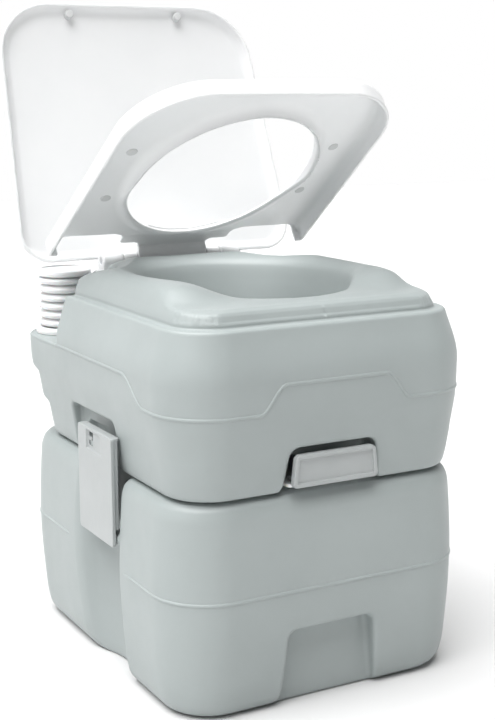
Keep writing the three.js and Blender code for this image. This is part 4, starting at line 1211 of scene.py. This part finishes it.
def add_light(name, place, target, size, power):
    data = bpy.data.lights.new(name, "AREA")
    data.shape = "RECTANGLE"
    data.size, data.size_y = size
    data.energy = power
    lamp = bpy.data.objects.new(name, data)
    lamp.location = place
    aim = Vector(target) - Vector(place)
    lamp.rotation_euler = aim.to_track_quat("-Z", "Y").to_euler()
    bpy.context.scene.collection.objects.link(lamp)
    return data


def add_sun(name, direction, angle, strength):
    data = bpy.data.lights.new(name, "SUN")
    data.angle = math.radians(angle)
    data.energy = strength
    lamp = bpy.data.objects.new(name, data)
    lamp.rotation_euler = Vector(direction).to_track_quat("-Z", "Y").to_euler()
    bpy.context.scene.collection.objects.link(lamp)


def ramp(tree, value, low, high, start, end):
    """A brightness that runs from start to end while value runs from low to high."""
    fade = tree.nodes.new("ShaderNodeMapRange")
    fade.inputs["From Min"].default_value = low
    fade.inputs["From Max"].default_value = high
    fade.inputs["To Min"].default_value = start
    fade.inputs["To Max"].default_value = end
    tree.links.new(value, fade.inputs["Value"])
    return fade.outputs["Result"]


def add_world():
    """A white studio: bright behind the object, dimmer overhead and in front so the forms read."""
    world = bpy.data.worlds.new("studio")
    world.use_nodes = True
    tree = world.node_tree
    place = tree.nodes.new("ShaderNodeTexCoord")
    axes = tree.nodes.new("ShaderNodeSeparateXYZ")
    tree.links.new(place.outputs["Generated"], axes.inputs[0])
    share = tree.nodes.new("ShaderNodeMath")
    share.operation = "MULTIPLY"
    tree.links.new(ramp(tree, axes.outputs["Z"], 0.10, 0.45, 1.0, 0.30), share.inputs[0])
    tree.links.new(ramp(tree, axes.outputs["Y"], -0.45, 0.5, 0.42, 1.0), share.inputs[1])
    tree.links.new(share.outputs[0], tree.nodes["Background"].inputs["Color"])
    bpy.context.scene.world = world


def add_lights():
    middle = (0, 0, 0.3)
    add_sun("top_soft", (0.28, 0.05, -1.0), 60, 5.2)
    key = add_light("key_left", (-2.1, -0.9, 1.3), middle, (1.4, 1.4), 5)
    key.color = (1.0, 0.96, 0.965)
    add_world()
    bpy.context.scene.view_settings.view_transform = "Standard"


def add_camera():
    """The fitted view: where the camera stands, where it looks and its roll."""
    azimuth, drop, roll = (math.radians(a) for a in (-28.76, 11.14, -0.23))
    forward = Vector((
        -math.sin(azimuth) * math.cos(drop),
        math.cos(azimuth) * math.cos(drop),
        -math.sin(drop),
    ))
    data = bpy.data.cameras.new("camera")
    data.sensor_fit = "VERTICAL"
    data.sensor_height = 36
    data.lens = 67.68
    camera = bpy.data.objects.new("camera", data)
    camera.location = (-0.67287, -1.25569, 0.58646)
    aim = forward.to_track_quat("-Z", "Y")
    tilt = Matrix.Rotation(roll, 3, "Z").to_quaternion()
    camera.rotation_euler = (aim @ tilt).to_euler()
    bpy.context.scene.collection.objects.link(camera)
    bpy.context.scene.camera = camera


add_camera()
add_lights()
add_floor()
add_tanks()
add_beads()
add_seat_and_lid()
add_bumpers()
add_latches()
add_valve()
add_screws()
add_spout()
add_pump()
add_filler()
finish_kept_nodes()
